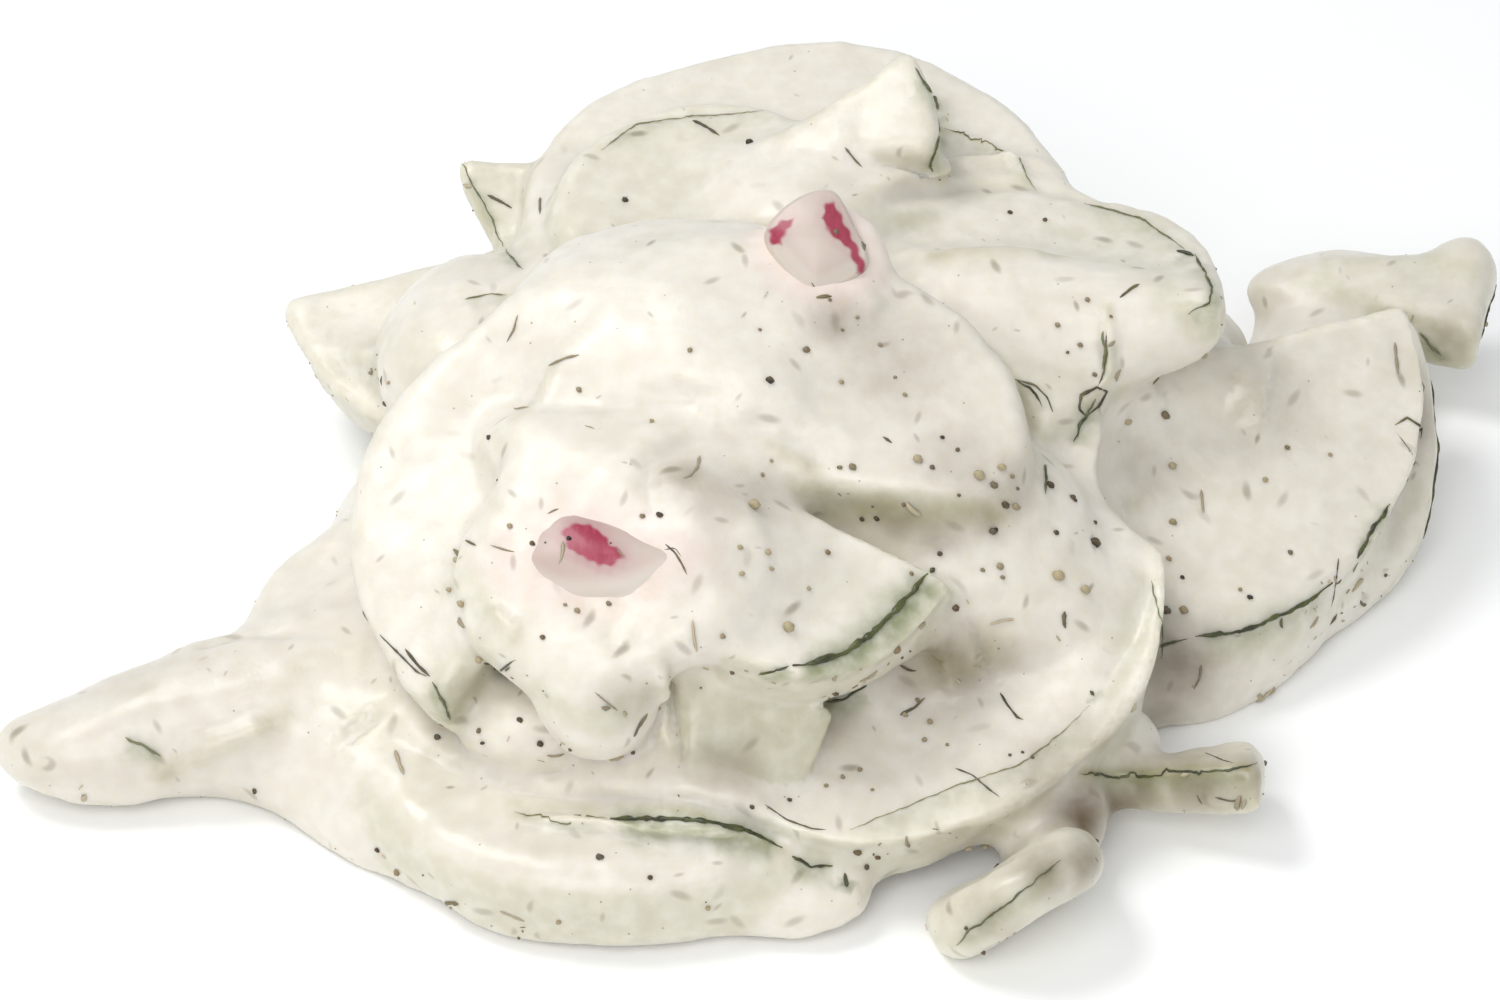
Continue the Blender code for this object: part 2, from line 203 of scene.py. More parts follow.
# Pools and folds of dressing: middle, half-sizes, turn in plan, and how softly each melts in.
dressingRows = (
    ((-11.0, -10.5, 27.8), (9.5, 5.0, 4.2), 0, 2.0),
    ((-3.0, -8.0, 30.3), (7.0, 3.2, 3.0), -8, 2.0),
    ((-21.5, 11.5, 18.5), (8.5, 10.0, 7.0), 0, 4.0),
    ((-29.0, -15.5, 2.5), (12.5, 11.0, 7.0), 0, 4.0),
    ((-21.5, -22.8, 1.0), (12.0, 8.0, 4.5), 0, 4.0),
    ((-44.5, -18.3, 4.5), (14.0, 5.2, 4.6), 12, 3.0),
    ((-39.5, -16.0, 7.0), (10.0, 4.5, 3.6), 14, 4.0),
    ((50.0, 33.9, 8.2), (7.5, 3.4, 2.8), 0, 3.0),
    ((48.5, 27.5, 4.0), (6.5, 7.0, 5.5), 0, 3.0),
    ((33.0, -5.5, 1.5), (7.0, 6.0, 4.5), 0, 4.0),
    ((40.0, 12.0, 3.0), (15.0, 14.0, 6.0), 20, 3.0),
    ((-4.0, -18.0, 22.0), (9.0, 8.0, 6.0), 0, 3.0),
    ((-4.8, 2.3, 30.3), (13.5, 10.0, 5.5), 0, 4.0),
    ((15.0, -9.0, 20.0), (10.5, 7.5, 5.5), 0, 3.0),
    ((-13.0, -23.5, 19.0), (5.0, 4.0, 4.0), 0, 2.5),
    ((-3.0, -21.8, 15.0), (4.5, 4.0, 4.0), 0, 2.5),
    ((-6.4, -29.0, 9.5), (7.0, 4.0, 2.5), -35, 3.0),
    ((-8.0, -23.5, 12.0), (3.5, 4.0, 3.0), 0, 2.0),
    ((4.5, 20.5, 28.0), (7.5, 5.5, 3.4), 0, 3.5),
    ((10.7, 22.8, 25.5), (5.0, 3.5, 3.0), 0, 2.5),
    ((36.2, 20.0, 11.0), (5.5, 5.5, 5.5), 0, 3.0),
    ((23.0, -26.5, 3.5), (4.8, 5.0, 4.0), 0, 2.5),
    ((27.8, -19.8, 4.0), (4.5, 4.0, 4.2), 0, 2.0),
    ((-17.0, -24.0, 11.3), (5.0, 4.0, 3.5), 0, 2.0),
    ((61.0, 34.0, 9.5), (2.4, 3.0, 3.0), 0, 2.5),
    ((-11.3, -27.6, 17.2), (4.6, 4.2, 5.6), 0, 1.2),
    ((33.0, 15.0, 16.5), (6.0, 5.0, 4.0), 0, 3.0),
    ((30.5, 7.0, 25.0), (6.5, 4.0, 3.6), 0, 3.0),
    ((20.0, -13.5, 16.2), (7.0, 6.0, 4.0), 0, 6.0),
    ((4.2, -34.6, 2.8), (5.0, 3.5, 2.8), 0, 3.0),
    ((40.5, -3.0, 3.5), (13.0, 5.5, 5.5), 47, 4.0),
    ((20.0, 8.0, 25.2), (10.0, 4.5, 3.6), 0, 4.0),
    ((16.5, 23.5, 19.0), (9.0, 9.0, 5.0), 0, 3.0),
)

radishRows = {
    "radishUpper": {
        "node": "radish_upper",
        "cover": 0.55,  # share of the dressing's colour over the flesh
        "at": (5.1, 3.4, 36.0),
        "lean": 42,
        "faces": -90,
        "outline": (
            (-4.0, 0.4), (-2.0, -3.0), (0.4, -4.3), (4.0, -2.0), (2.8, 1.6), (1.2, 4.0), (-1.8, 3.2),
        ),
    },
    "radishLower": {
        "node": "radish_lower",
        "cover": 0.0,
        "at": (-11.1, -21.8, 24.7),
        "lean": 34,
        "faces": -105,
        "outline": (
            (-7.0, 0.2), (-4.2, -2.5), (-0.6, -3.4), (2.6, -3.2), (5.6, -1.6), (7.2, -0.2), (3.6, 1.6),
            (0.2, 3.2), (-3.0, 4.1), (-5.6, 2.5),
        ),
    },
}

# rings of a radish piece: share of the way out from its middle, share of half its thickness
radishRings = ((0.55, 1.0), (0.9, 0.94), (1.0, 0.5), (1.0, -0.5), (0.9, -0.94), (0.55, -1.0))
radishThickness = 5.0

# shallow hollows between the folds, in the same form
hollowRows = (
    ((-2.4, -21.0, 31.4), (5.6, 5.2, 3.4), 0, 1.2),
    ((36.8, -2.9, 18.5), (9.5, 9.0, 5.6), 20, 2.0),
)

heapLook = {
    "gridStep": 0.42,  # mm between the points of the surface
    "gridBox": ((-63, -46, -2.0), (67, 51, 43)),  # its corners in plan mm
    "wobble": 0.025,  # share by which a slice is out of round
    "coat": (1.1, 1.2, 0.8),  # the usual edges, melting and corners of a coated slice, as in coatRows
    "rimCorner": 1.2,  # softness of the corner between a cut and the skin
    "core": (36.0, 27.0, 24.0),
    # dressing that climbs round the radish pieces: its middle on the piece's plane, half-sizes,
    # and how softly it melts in
    "collars": (
        ("radishUpper", (0.4, -1.2, -0.8), (5.2, 4.8, 2.6), 1.6),
        ("radishUpper", (2.2, -5.2, 0.6), (2.6, 2.4, 1.8), 1.5),
        ("radishLower", (0.0, 0.0, 0.0), (11.0, 8.0, 3.5), 4.5),
    ),
    # and the shallow dish it leaves over the lower one's face: height, half-sizes and softness
    "face": (3.7, (16.0, 6.0, 1.4), 2.5),
    "triangles": 190000,  # kept in the finished surface
}


def placing(at, lean, faces):
    turn = Matrix.Rotation(math.radians(faces), 4, "Z")
    tip = Matrix.Rotation(math.radians(lean), 4, "Y")
    return Matrix.Translation(at) @ turn @ tip @ turn.inverted()


def rimRadius(row, phase, angle):
    wobble = np.sin(3 * angle + phase) + 0.6 * np.sin(5 * angle - 2 * phase)
    return row["radius"] * (1 + heapLook["wobble"] * wobble)


def softMax(a, b, blend):
    near = np.clip(blend - np.abs(a - b), 0.0, None) / blend
    return np.maximum(a, b) + near * near * blend * 0.25


def sliceParts(row, phase, corner, x, y, z):
    # how far a point in the slice's own plane is past its skin and past its cuts, and its height
    angle = np.arctan2(y, x)
    skin = np.hypot(x, y) - rimRadius(row, phase, angle)
    cuts = np.full_like(skin, -99.0)
    if row["sweep"] < 360:
        first = math.radians(row["begins"])
        last = math.radians(row["begins"] + row["sweep"])
        before = x * math.sin(first) - y * math.cos(first)
        past = y * math.cos(last) - x * math.sin(last)
        cuts = softMax(before, past, corner) if row["sweep"] <= 180 else np.minimum(before, past)
    height = z - row["curl"] * (x / row["radius"]) ** 2
    hollow = row["dish"] * np.clip(1 - (x * x + y * y) / row["radius"] ** 2, 0, None)
    return skin, cuts, np.where(height > 0, height + hollow, height)


def sliceDistance(row, phase, edge, corner, x, y, z):
    skin, cuts, height = sliceParts(row, phase, corner, x, y, z)
    half = row["thick"] / 2
    rounding = min(edge, half * 0.9)
    across = softMax(skin, cuts, heapLook["rimCorner"] if row["sweep"] <= 180 else corner) + rounding
    upward = np.abs(height) - half + rounding
    outside = np.hypot(np.maximum(across, 0), np.maximum(upward, 0))
    return outside + np.minimum(np.maximum(across, upward), 0) - rounding


def eggDistance(size, x, y, z):
    a, b, c = size
    near = np.sqrt((x / a) ** 2 + (y / b) ** 2 + (z / c) ** 2)
    steep = np.sqrt((x / a ** 2) ** 2 + (y / b ** 2) ** 2 + (z / c ** 2) ** 2)
    return near * (near - 1) / np.maximum(steep, 1e-6)


class SurfaceGrid:
    # distances to the heap's surface, in mm, on an even grid over the plan
    far = 6.0
    band = 3.0  # distances kept on each side of the surface
    footing = 0.5  # softness of the edge round the flat underside

    def __init__(self, low, high, step):
        self.low = np.array(low)
        self.step = step
        count = np.ceil((np.array(high) - self.low) / step).astype(int)
        self.values = np.full(count, self.far, np.float32)

    def add(self, matrix, reach, distance, blend):
        # joins a shape on, running into what is there over the blend
        middle = np.array(matrix.translation)
        first = np.maximum(((middle - reach - self.low) / self.step).astype(int), 0)
        last = np.minimum(((middle + reach - self.low) / self.step).astype(int), self.values.shape)
        window = tuple(slice(a, b) for a, b in zip(first, last))
        axes = [self.low[k] + self.step * np.arange(first[k], last[k]) - middle[k] for k in range(3)]
        px, py, pz = np.ix_(*axes)
        turned = np.array(matrix.to_3x3().inverted())
        x, y, z = (turned[k][0] * px + turned[k][1] * py + turned[k][2] * pz for k in range(3))
        found = distance(x, y, z)
        there = self.values[window]
        near = np.clip(blend - np.abs(there - found), 0, None) / blend
        self.values[window] = np.minimum(there, found) - near * near * blend * 0.25

    def hollow(self, matrix, reach, distance, blend):
        # takes a shape out: what is joined on is turned inside out before and after
        self.values *= -1
        self.add(matrix, reach, distance, blend)
        self.values *= -1

    def mesh(self, name, offset):
        # the zero surface as a mesh in metres
        axis = self.low[2] + self.step * np.arange(self.values.shape[2])
        solid = softMax(self.values, -axis[None, None, :], self.footing)
        volume = openvdb.FloatGrid(self.band)
        volume.copyFromArray(np.clip(solid, -self.band, self.band).astype(np.float32))
        points, quads = volume.convertToQuads(isovalue=0.0)
        places = (points * self.step + self.low + offset) * mm
        made = bpy.data.meshes.new(name)
        made.from_pydata(places.tolist(), [], quads[:, ::-1].tolist())
        made.validate()
        made.update()
        return made


# The radish's own box in the frame gives the step from the plan to the frame


def radishVerts(row, half, grow=0.0):
    outline = [Vector((x, y, 0)) for x, y in row["outline"]]
    middle = sum(outline, Vector()) / len(outline)
    rings = []
    for share, height in radishRings:
        ring = []
        for point in outline:
            outward = point - middle
            at = middle + outward * share + outward.normalized() * grow
            ring.append(Vector((at.x, at.y, height * (half + grow))))
        rings.append(ring)
    return rings, middle


def planOffset():
    row = radishRows["radishLower"]
    matrix = placing(row["at"], row["lean"], row["faces"])
    rings, middle = radishVerts(row, radishThickness / 2)
    corners = [matrix @ point for ring in rings for point in ring]
    low = Vector([min(corner[k] for corner in corners) for k in range(3)])
    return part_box("radish_lower")[0] / mm - low


offset = planOffset()
print("plan to frame:", [round(c, 3) for c in offset])


# Camera, floor and light

view = {
    "elevation": 40.0,  # degrees that the camera looks down
    "distance": 400.0,
    "aim": (0.0, 0.0, 13.0),
    "lens": 120.0,
}
aim = Vector(view["aim"]) + offset
lookDown = math.radians(view["elevation"])
viewAhead = Vector((0, math.cos(lookDown), -math.sin(lookDown)))
viewUp = Vector((0, math.sin(lookDown), math.cos(lookDown)))
cameraAt = aim - viewAhead * view["distance"]

lightLook = {
    "skyStrength": 0.65,
    "keyPower": 0.66,
    "keyAt": (-180.0, 20.0, 380.0),
    "keySize": 170.0,
    "fillPower": 0.72,
    "fillAt": (-70.0, -300.0, 300.0),
    "fillSize": 280.0,
    "floor": "#FBFBF9",
    "sky": "#F7FAFF",
}


def makeCamera():
    data = bpy.data.cameras.new("camera")
    data.lens = view["lens"]
    data.sensor_width = 36.0
    data.clip_start = 0.01
    camera = bpy.data.objects.new("camera", data)
    camera.location = cameraAt * mm
    camera.rotation_euler = (math.radians(90 - view["elevation"]), 0, 0)
    bpy.context.scene.collection.objects.link(camera)
    bpy.context.scene.camera = camera


def makeLight(name, power, at, size):
    data = bpy.data.lights.new(name, "AREA")
    data.shape = "DISK"
    data.size = size * mm
    data.energy = power
    lamp = bpy.data.objects.new(name, data)
    lamp.location = Vector(at) * mm
    lamp.rotation_euler = (aim - Vector(at)).to_track_quat("-Z", "Y").to_euler()
    bpy.context.scene.collection.objects.link(lamp)


def makeFloor():
    mesh = bpy.data.meshes.new("floor")
    form = bmesh.new()
    bmesh.ops.create_grid(form, x_segments=1, y_segments=1, size=2.0)
    form.to_mesh(mesh)
    form.free()
    floor = linkObject("floor", mesh)
    made, tree = newMaterial("matt white paper")
    inputs = {"Base Color": hexColour(lightLook["floor"]), "Roughness": 0.9}
    shader = addNode(tree, "ShaderNodeBsdfPrincipled", inputs)
    addNode(tree, "ShaderNodeOutputMaterial", {"Surface": shader.outputs["BSDF"]})
    mesh.materials.append(made)


def makeStudio():
    makeCamera()
    makeFloor()
    makeLight("key", lightLook["keyPower"], lightLook["keyAt"], lightLook["keySize"])
    makeLight("fill", lightLook["fillPower"], lightLook["fillAt"], lightLook["fillSize"])
    world = bpy.data.worlds.new("studio")
    world.use_nodes = True
    background = world.node_tree.nodes["Background"]
    background.inputs["Color"].default_value = hexColour(lightLook["sky"])
    background.inputs["Strength"].default_value = lightLook["skyStrength"]
    bpy.context.scene.world = world
    bpy.context.scene.view_settings.view_transform = "Standard"


makeStudio()
print("studio is set")


# The dressed heap

# mm that each kind of unevenness rises, and its size across
reliefLook = {
    "Swell": 0.4,
    "Swell size": 11.0,
    "Lumps": 0.12,
    "Lumps size": 3.2,
    "Grain": 0.02,
    "Grain size": 1.2,
}


def reliefTree():
    # uneven dressing: moves the surface along its normal by three sizes of noise
    tree, source, sink = newTree("dressing relief", {name: "Float" for name in reliefLook})
    total = None
    for name in ("Swell", "Lumps", "Grain"):
        amount = source.outputs[name]
        inputs = {0: 1000.0, 1: source.outputs[name + " size"]}
        finer = addNode(tree, "ShaderNodeMath", inputs, operation="DIVIDE")
        cloud = addNode(tree, "ShaderNodeTexNoise", {"Scale": finer, "Detail": 1.0, "Roughness": 0.4})
        level = addNode(tree, "ShaderNodeMath", {0: cloud, 1: 0.5}, operation="SUBTRACT")
        sized = addNode(tree, "ShaderNodeMath", {0: level, 1: amount}, operation="MULTIPLY")
        doubled = addNode(tree, "ShaderNodeMath", {0: sized, 1: 4.0 * mm}, operation="MULTIPLY")
        if total:
            doubled = addNode(tree, "ShaderNodeMath", {0: doubled, 1: total})
        total = doubled
    normal = addNode(tree, "GeometryNodeInputNormal")
    push = addNode(tree, "ShaderNodeVectorMath", {0: normal, "Scale": total}, operation="SCALE")
    inputs = {"Geometry": source.outputs["Geometry"], "Offset": push}
    moved = addNode(tree, "GeometryNodeSetPosition", inputs)
    tree.links.new(moved.outputs[0], sink.inputs[0])
    return tree


def outerShellTree():
    # drops the walls of hollows that are sealed inside the heap, and keeps the one outer shell
    tree, source, sink = newTree("outer shell", {})
    island = addNode(tree, "GeometryNodeInputMeshIsland")
    inputs = {"Value": 1.0, "Group ID": island}
    count = addNode(tree, "GeometryNodeAccumulateField", inputs, data_type="FLOAT")
    total = count.outputs["Total"]
    most = addNode(tree, "GeometryNodeAttributeStatistic", {"Geometry": source, "Attribute": total})
    inputs = {"A": total, "B": most.outputs["Max"]}
    small = addNode(tree, "FunctionNodeCompare", inputs, operation="LESS_THAN")
    kept = addNode(tree, "GeometryNodeDeleteGeometry", {"Geometry": source, "Selection": small})
    tree.links.new(kept.outputs[0], sink.inputs[0])
    return tree


def pointsOf(mesh):
    places = np.empty(len(mesh.vertices) * 3, np.float32)
    mesh.vertices.foreach_get("co", places)
    return places.reshape(-1, 3)


def normalsOf(mesh):
    normals = np.empty(len(mesh.vertices) * 3, np.float32)
    mesh.vertex_normals.foreach_get("vector", normals)
    return normals.reshape(-1, 3)


def storePoints(mesh, name, values):
    kept = mesh.attributes.new(name, "FLOAT", "POINT")
    kept.data.foreach_set("value", np.clip(values, 0, 1).astype(np.float32))


def formHeap():
    grid = SurfaceGrid(*heapLook["gridBox"], heapLook["gridStep"])
    core = heapLook["core"]
    grid.add(Matrix(), np.array(core) + 3, partial(eggDistance, core), 1.0)
    for phase, (name, row) in enumerate(slices.items()):
        edge, blend, corner = coatRows.get(name, heapLook["coat"])
        matrix = placing(row["at"], row["lean"], row["faces"])
        reach = row["radius"] * 1.05 + row["thick"] / 2 + 3
        grid.add(matrix, reach, partial(sliceDistance, row, phase, edge, corner), blend)
    for at, size, turn, blend in dressingRows:
        matrix = Matrix.Translation(at) @ Matrix.Rotation(math.radians(turn), 4, "Z")
        grid.add(matrix, max(size) + 5, partial(eggDistance, size), blend)
    for at, size, turn, blend in hollowRows:
        matrix = Matrix.Translation(at) @ Matrix.Rotation(math.radians(turn), 4, "Z")
        grid.hollow(matrix, max(size) + 4, partial(eggDistance, size), blend)
    for name, middle, size, blend in heapLook["collars"]:
        row = radishRows[name]
        matrix = placing(row["at"], row["lean"], row["faces"]) @ Matrix.Translation(middle)
        grid.add(matrix, max(size) + 5, partial(eggDistance, size), blend)
    row, (height, size, blend) = radishRows["radishLower"], heapLook["face"]
    matrix = placing(row["at"], row["lean"], row["faces"]) @ Matrix.Translation((0, 0, height))
    grid.hollow(matrix, max(size) + 3, partial(eggDistance, size), blend)
    return grid


heapGrid = formHeap()
heap = linkObject("dressedHeap", heapGrid.mesh("dressedHeap", offset))
runTree(heap, outerShellTree(), {})
runTree(heap, reliefTree(), reliefLook)
print("heap:", len(heap.data.polygons), "quads")


# Marks worked into the dressing by the spoon and by what lies under it. Places are in mm across
# and up on the camera's plane through the aim, and fall on whatever the camera sees there.

def surfaceTree(piece):
    bpy.context.view_layer.update()
    return BVHTree.FromObject(piece, bpy.context.evaluated_depsgraph_get())


def fallOnHeap(tree, across, up):
    through = (aim + Vector((across, 0, 0)) + viewUp * up) * mm
    start = cameraAt * mm
    hit, normal, face, reach = tree.ray_cast(start, (through - start).normalized())
    return hit


def pathOnHeap(tree, corners, step=0.25):
    path = []
    for (ax, ay), (bx, by) in zip(corners, corners[1:]):
        count = max(int(math.hypot(bx - ax, by - ay) / step), 1)
        for k in range(count):
            hit = fallOnHeap(tree, ax + (bx - ax) * k / count, ay + (by - ay) * k / count)
            if hit:
                path.append(hit)
    return path


# height (less than zero for a groove), width, and strength of the painted shade with olive along the
# crease, then the corners
markRows = {
    "ridge crest": (
        1.5, 2.2, 0.0,
        ((-21.6, 7.8), (-17.0, 8.6), (-12.0, 8.2), (-7.0, 8.3), (-2.8, 8.0), (0.5, 6.9)),
    ),
    "lip of the ridge": (
        0.5, 1.0, 0.0,
        ((-2.4, 5.4), (-5.6, 4.6), (-8.0, 3.4), (-8.4, 1.2), (-7.8, -0.6)),
    ),
    "fold in the middle": (-0.35, 0.9, 0.35, ((1.6, 4.3), (4.0, 3.0), (5.2, 2.4))),
    "lip of the fold": (0.25, 1.2, 0.0, ((2.2, 5.4), (4.8, 4.0), (6.4, 3.0))),
    "valley at the right": (-0.6, 1.2, 0.5, ((14.8, 19.4), (20.0, 19.7), (24.8, 19.4))),
    "under the crown": (-0.3, 1.5, 0.45, ((9.4, -0.8), (14.0, -1.4), (20.2, -0.8))),
    "left tongue crease": (-0.9, 1.1, 0.55, ((-46.8, -22.0), (-42.8, -19.6), (-37.2, -17.4))),
    "line along the left": (0.5, 0.8, 0.0, ((-45.6, -12.0), (-40.0, -10.6), (-34.4, -10.6))),
    "rim of the dish": (0.5, 1.0, 0.0, ((27.2, -16.0), (30.4, -11.2), (31.6, -7.2), (31.2, -4.0))),
    "hollow of the dish": (-1.2, 2.6, 0.45, ((14.6, -13.0), (19.0, -11.8))),
    "crease at the left cut": (-0.5, 0.9, 0.4, ((-20.8, -8.8), (-18.4, -11.2))),
    "behind the standing wedge": (-0.4, 0.5, 0.3, ((15.6, 29.6), (18.8, 28.4), (23.2, 24.8))),
    "edge of the inner slice": (0.3, 0.6, 0.0, ((-12.0, 28.0), (-9.2, 30.2), (-5.2, 30.8), (1.6, 31.2))),
    "fold by the right edge": (-0.5, 0.5, 0.6, ((28.6, 15.2), (28.8, 10.4), (27.6, 8.0))),
    "crest of the right top": (
        0.5, 0.8, 0.0,
        ((8.6, 22.8), (12.0, 24.2), (16.8, 25.1), (22.4, 25.2), (26.4, 24.3), (31.0, 22.8)),
    ),
    "behind the right top": (
        -0.9, 1.0, 0.15,
        ((9.0, 24.4), (12.0, 25.8), (16.8, 26.7), (22.4, 26.9), (26.4, 26.0)),
    ),
    "wave on the right half": (0.5, 2.2, 0.0, ((34.4, 4.0), (37.6, 6.0), (41.6, 5.6))),
    "dimple on the right half": (-0.6, 2.6, 0.0, ((38.4, 9.6), (42.0, 8.4))),
    "seam under the right tongue": (
        -0.35, 0.5, 0.9,
        ((26.4, -21.8), (30.0, -22.0), (36.0, -21.8), (40.0, -21.4)),
    ),
    "swell at the front left": (0.5, 2.4, 0.0, ((-32.0, -17.6), (-30.8, -19.2))),
    "lip of the front ledge": (
        0.6, 0.7, 0.0,
        ((-20.8, -22.4), (-18.8, -23.2), (-12.0, -23.8), (-4.8, -24.0), (-0.6, -25.2), (2.4, -27.4)),
    ),
    "slit under the ledge": (
        -0.8, 0.6, 0.5,
        ((-18.8, -25.4), (-11.2, -26.2), (-4.0, -26.2), (-0.8, -26.8), (2.8, -28.2)),
    ),
    "gap beside the chunk": (-0.7, 0.7, 0.2, ((-7.2, -12.6), (-6.9, -17.0), (-6.4, -20.6))),
    "left edge of the chunk": (0.4, 0.5, 0.0, ((-6.6, -12.8), (-6.2, -17.6), (-5.0, -22.0))),
}


def nearPath(points, path, reach):
    # the points within reach of a path, how far off they are in mm, and their share along it
    path = np.array(path, np.float32) / mm
    low, high = path.min(0) - reach, path.max(0) + reach
    chosen = np.flatnonzero(((points > low) & (points < high)).all(1))
    gaps = np.linalg.norm(points[chosen, None, :] - path[None, :, :], axis=2)
    return chosen, gaps.min(1), gaps.argmin(1) / max(len(path) - 1, 1)


def pressMarks(piece, paths):
    points = pointsOf(piece.data)
    normals = normalsOf(piece.data)
    inMm = points / mm
    for name, path in paths.items():
        height, width = markRows[name][:2]
        chosen, gap, share = nearPath(inMm, path, width * 3)
        ends = smoothStep(0.0, 0.25, share) * smoothStep(0.0, 0.25, 1 - share) * 0.7 + 0.3
        push = height * ends * np.exp(-(gap / width) ** 2)
        points[chosen] += normals[chosen] * push[:, None] * mm
    piece.data.vertices.foreach_set("co", points.ravel())
    piece.data.update()


heapTree = surfaceTree(heap)
markPaths = {name: pathOnHeap(heapTree, row[3]) for name, row in markRows.items()}
markPaths = {name: path for name, path in markPaths.items() if len(path) > 2}
pressMarks(heap, markPaths)


def thinMesh(piece, triangles):
    # fewer faces where the surface is plain
    slim = piece.modifiers.new("thin", "DECIMATE")
    slim.ratio = min(1.0, triangles / (2 * len(piece.data.polygons)))
    applyModifiers(piece)
    piece.data.shade_smooth()


thinMesh(heap, heapLook["triangles"])
print("heap:", len(heap.data.polygons), "faces after thinning")


# Slivers of dark skin that the coat leaves bare, first those the camera sees: width in mm, veil
# (how far the coat covers it), green beside it, and corners in mm on the camera's plane

skinLines = (
    (
        0.62, 0.0, 1.0,
        ((14.8, -5.4), (12.0, -8.4), (9.6, -10.8), (7.6, -12.2), (5.2, -13.0), (3.2, -13.3)),
    ),
    (0.22, 0.2, 0.6, ((3.2, -13.3), (1.8, -13.7), (0.4, -14.0))),
    (0.34, 0.2, 0.7, ((9.2, -14.8), (7.4, -16.0), (5.2, -16.3))),
    (0.52, 0.05, 0.9, ((-11.2, -26.0), (-8.0, -25.6), (-4.0, -26.0), (-0.8, -26.6), (2.8, -28.0))),
    (0.14, 0.5, 0.3, ((-18.8, -25.2), (-15.2, -25.9), (-11.2, -26.0))),
    (0.32, 0.1, 0.6, ((3.4, -28.5), (4.8, -29.3), (6.8, -29.2))),
    (0.46, 0.0, 0.5, ((35.6, -10.9), (39.2, -10.6), (42.4, -9.2), (44.8, -8.0), (46.8, -6.4))),
    (0.42, 0.05, 0.5, ((48.6, -4.6), (50.0, -2.0), (51.4, -0.2))),
    (0.3, 0.1, 0.2, ((32.8, -11.7), (34.4, -11.2))),
    (0.18, 0.5, 0.35, ((26.8, 24.0), (31.2, 22.6), (35.0, 19.9))),
    (0.26, 0.25, 0.5, ((35.6, 19.6), (37.0, 17.0), (36.8, 15.8), (34.8, 14.8))),
    (0.36, 0.1, 0.6, ((34.2, 19.9), (35.8, 19.4))),
    (0.24, 0.5, 0.4, ((28.4, 13.4), (28.6, 11.6), (28.4, 9.6))),
    (0.32, 0.1, 0.6, ((27.6, 8.0), (26.4, 6.0), (25.8, 4.4))),
    (0.22, 0.2, 0.3, ((21.2, 9.6), (22.4, 9.0), (23.6, 7.2))),
    (0.22, 0.3, 0.3, ((23.6, 2.8), (23.6, 0.2))),
    (0.3, 0.25, 0.7, ((13.2, 34.6), (14.8, 32.0), (15.2, 29.6), (14.8, 28.0), (14.2, 26.2))),
    (0.18, 0.45, 0.45, ((-23.0, 26.8), (-20.8, 22.8), (-19.6, 20.0), (-18.0, 18.2))),
    (0.14, 0.55, 0.3, ((-22.8, 16.0), (-20.8, 16.5), (-19.2, 16.4))),
    (0.28, 0.35, 0.7, ((-25.4, -14.6), (-24.4, -16.6), (-23.8, -17.8))),
    (0.12, 0.65, 0.3, ((8.0, -26.4), (16.8, -22.8), (21.6, -21.2), (24.8, -18.8), (27.4, -16.2))),
    (0.42, 0.15, 0.7, ((27.2, -15.2), (27.7, -15.8))),
    (0.24, 0.15, 0.5, ((26.4, -21.8), (29.0, -22.1), (36.0, -21.8), (40.0, -21.4), (40.8, -20.9))),
    (0.2, 0.3, 0.4, ((24.8, -28.8), (22.4, -30.8), (20.0, -32.8), (17.6, -34.4), (16.4, -35.8))),
    (0.4, 0.5, 0.5, ((53.6, 13.4), (54.6, 12.2), (55.6, 11.4))),
    (0.4, 0.2, 0.8, ((7.6, -29.8), (7.7, -31.2))),
    (0.12, 0.6, 0.3, ((-12.0, 28.0), (-9.2, 30.2), (-5.2, 30.8), (1.6, 31.2))),
    (0.14, 0.5, 0.3, ((15.6, 29.6), (18.8, 28.4), (21.0, 26.8), (23.2, 24.8))),
    (0.12, 0.5, 0.2, ((32.0, -6.4), (33.0, -10.0), (33.0, -13.0))),
    (0.3, 0.5, 0.5, ((-50.0, -19.0), (-47.0, -20.6))),
)

# and those out of its sight: slice, the arc in degrees, the level between the faces (1 is the
# upper face), and the width in mm

skinRows = (
    ("backMiddle", 60, 128, 0.3, 0.34),
    ("backLeft", 95, 165, 0.2, 0.28),
    ("backRight", 10, 75, 0.3, 0.32),
    ("backLow", 60, 100, 0.1, 0.26),
    ("backLow", 120, 150, 0.3, 0.24),
    ("backTop", 70, 115, 0.2, 0.3),
    ("backTop", 125, 150, 0.1, 0.22),
    ("leftLow", 150, 200, 0.3, 0.3),
    ("rightUnder", -30, 20, 0.3, 0.3),
    ("rightEnd", -20, 10, 0.2, 0.24),
    ("leftTongue", -2, 6, 0.2, 0.22),
)


def rimPath(name, first, last, level):
    row = slices[name]
    phase = list(slices).index(name)
    matrix = placing(row["at"], row["lean"], row["faces"])
    count = max(int(row["radius"] * math.radians(last - first) / 0.3), 2)
    path = []
    for k in range(count + 1):
        angle = math.radians(first + (last - first) * k / count)
        out = rimRadius(row, phase, angle)
        x, y = out * math.cos(angle), out * math.sin(angle)
        z = level * row["thick"] / 2 + row["curl"] * (x / row["radius"]) ** 2
        path.append(heapTree.find_nearest((matrix @ Vector((x, y, z)) + offset) * mm)[0])
    return path


sliverLook = {
    "below": (0.1, -0.45),  # mm from a sliver to the middle of the green below it
    "levelBelow": 0.35,  # the same for those out of sight, in levels
    "veil": 0.15,  # of those out of sight
    "green": 0.7,
}

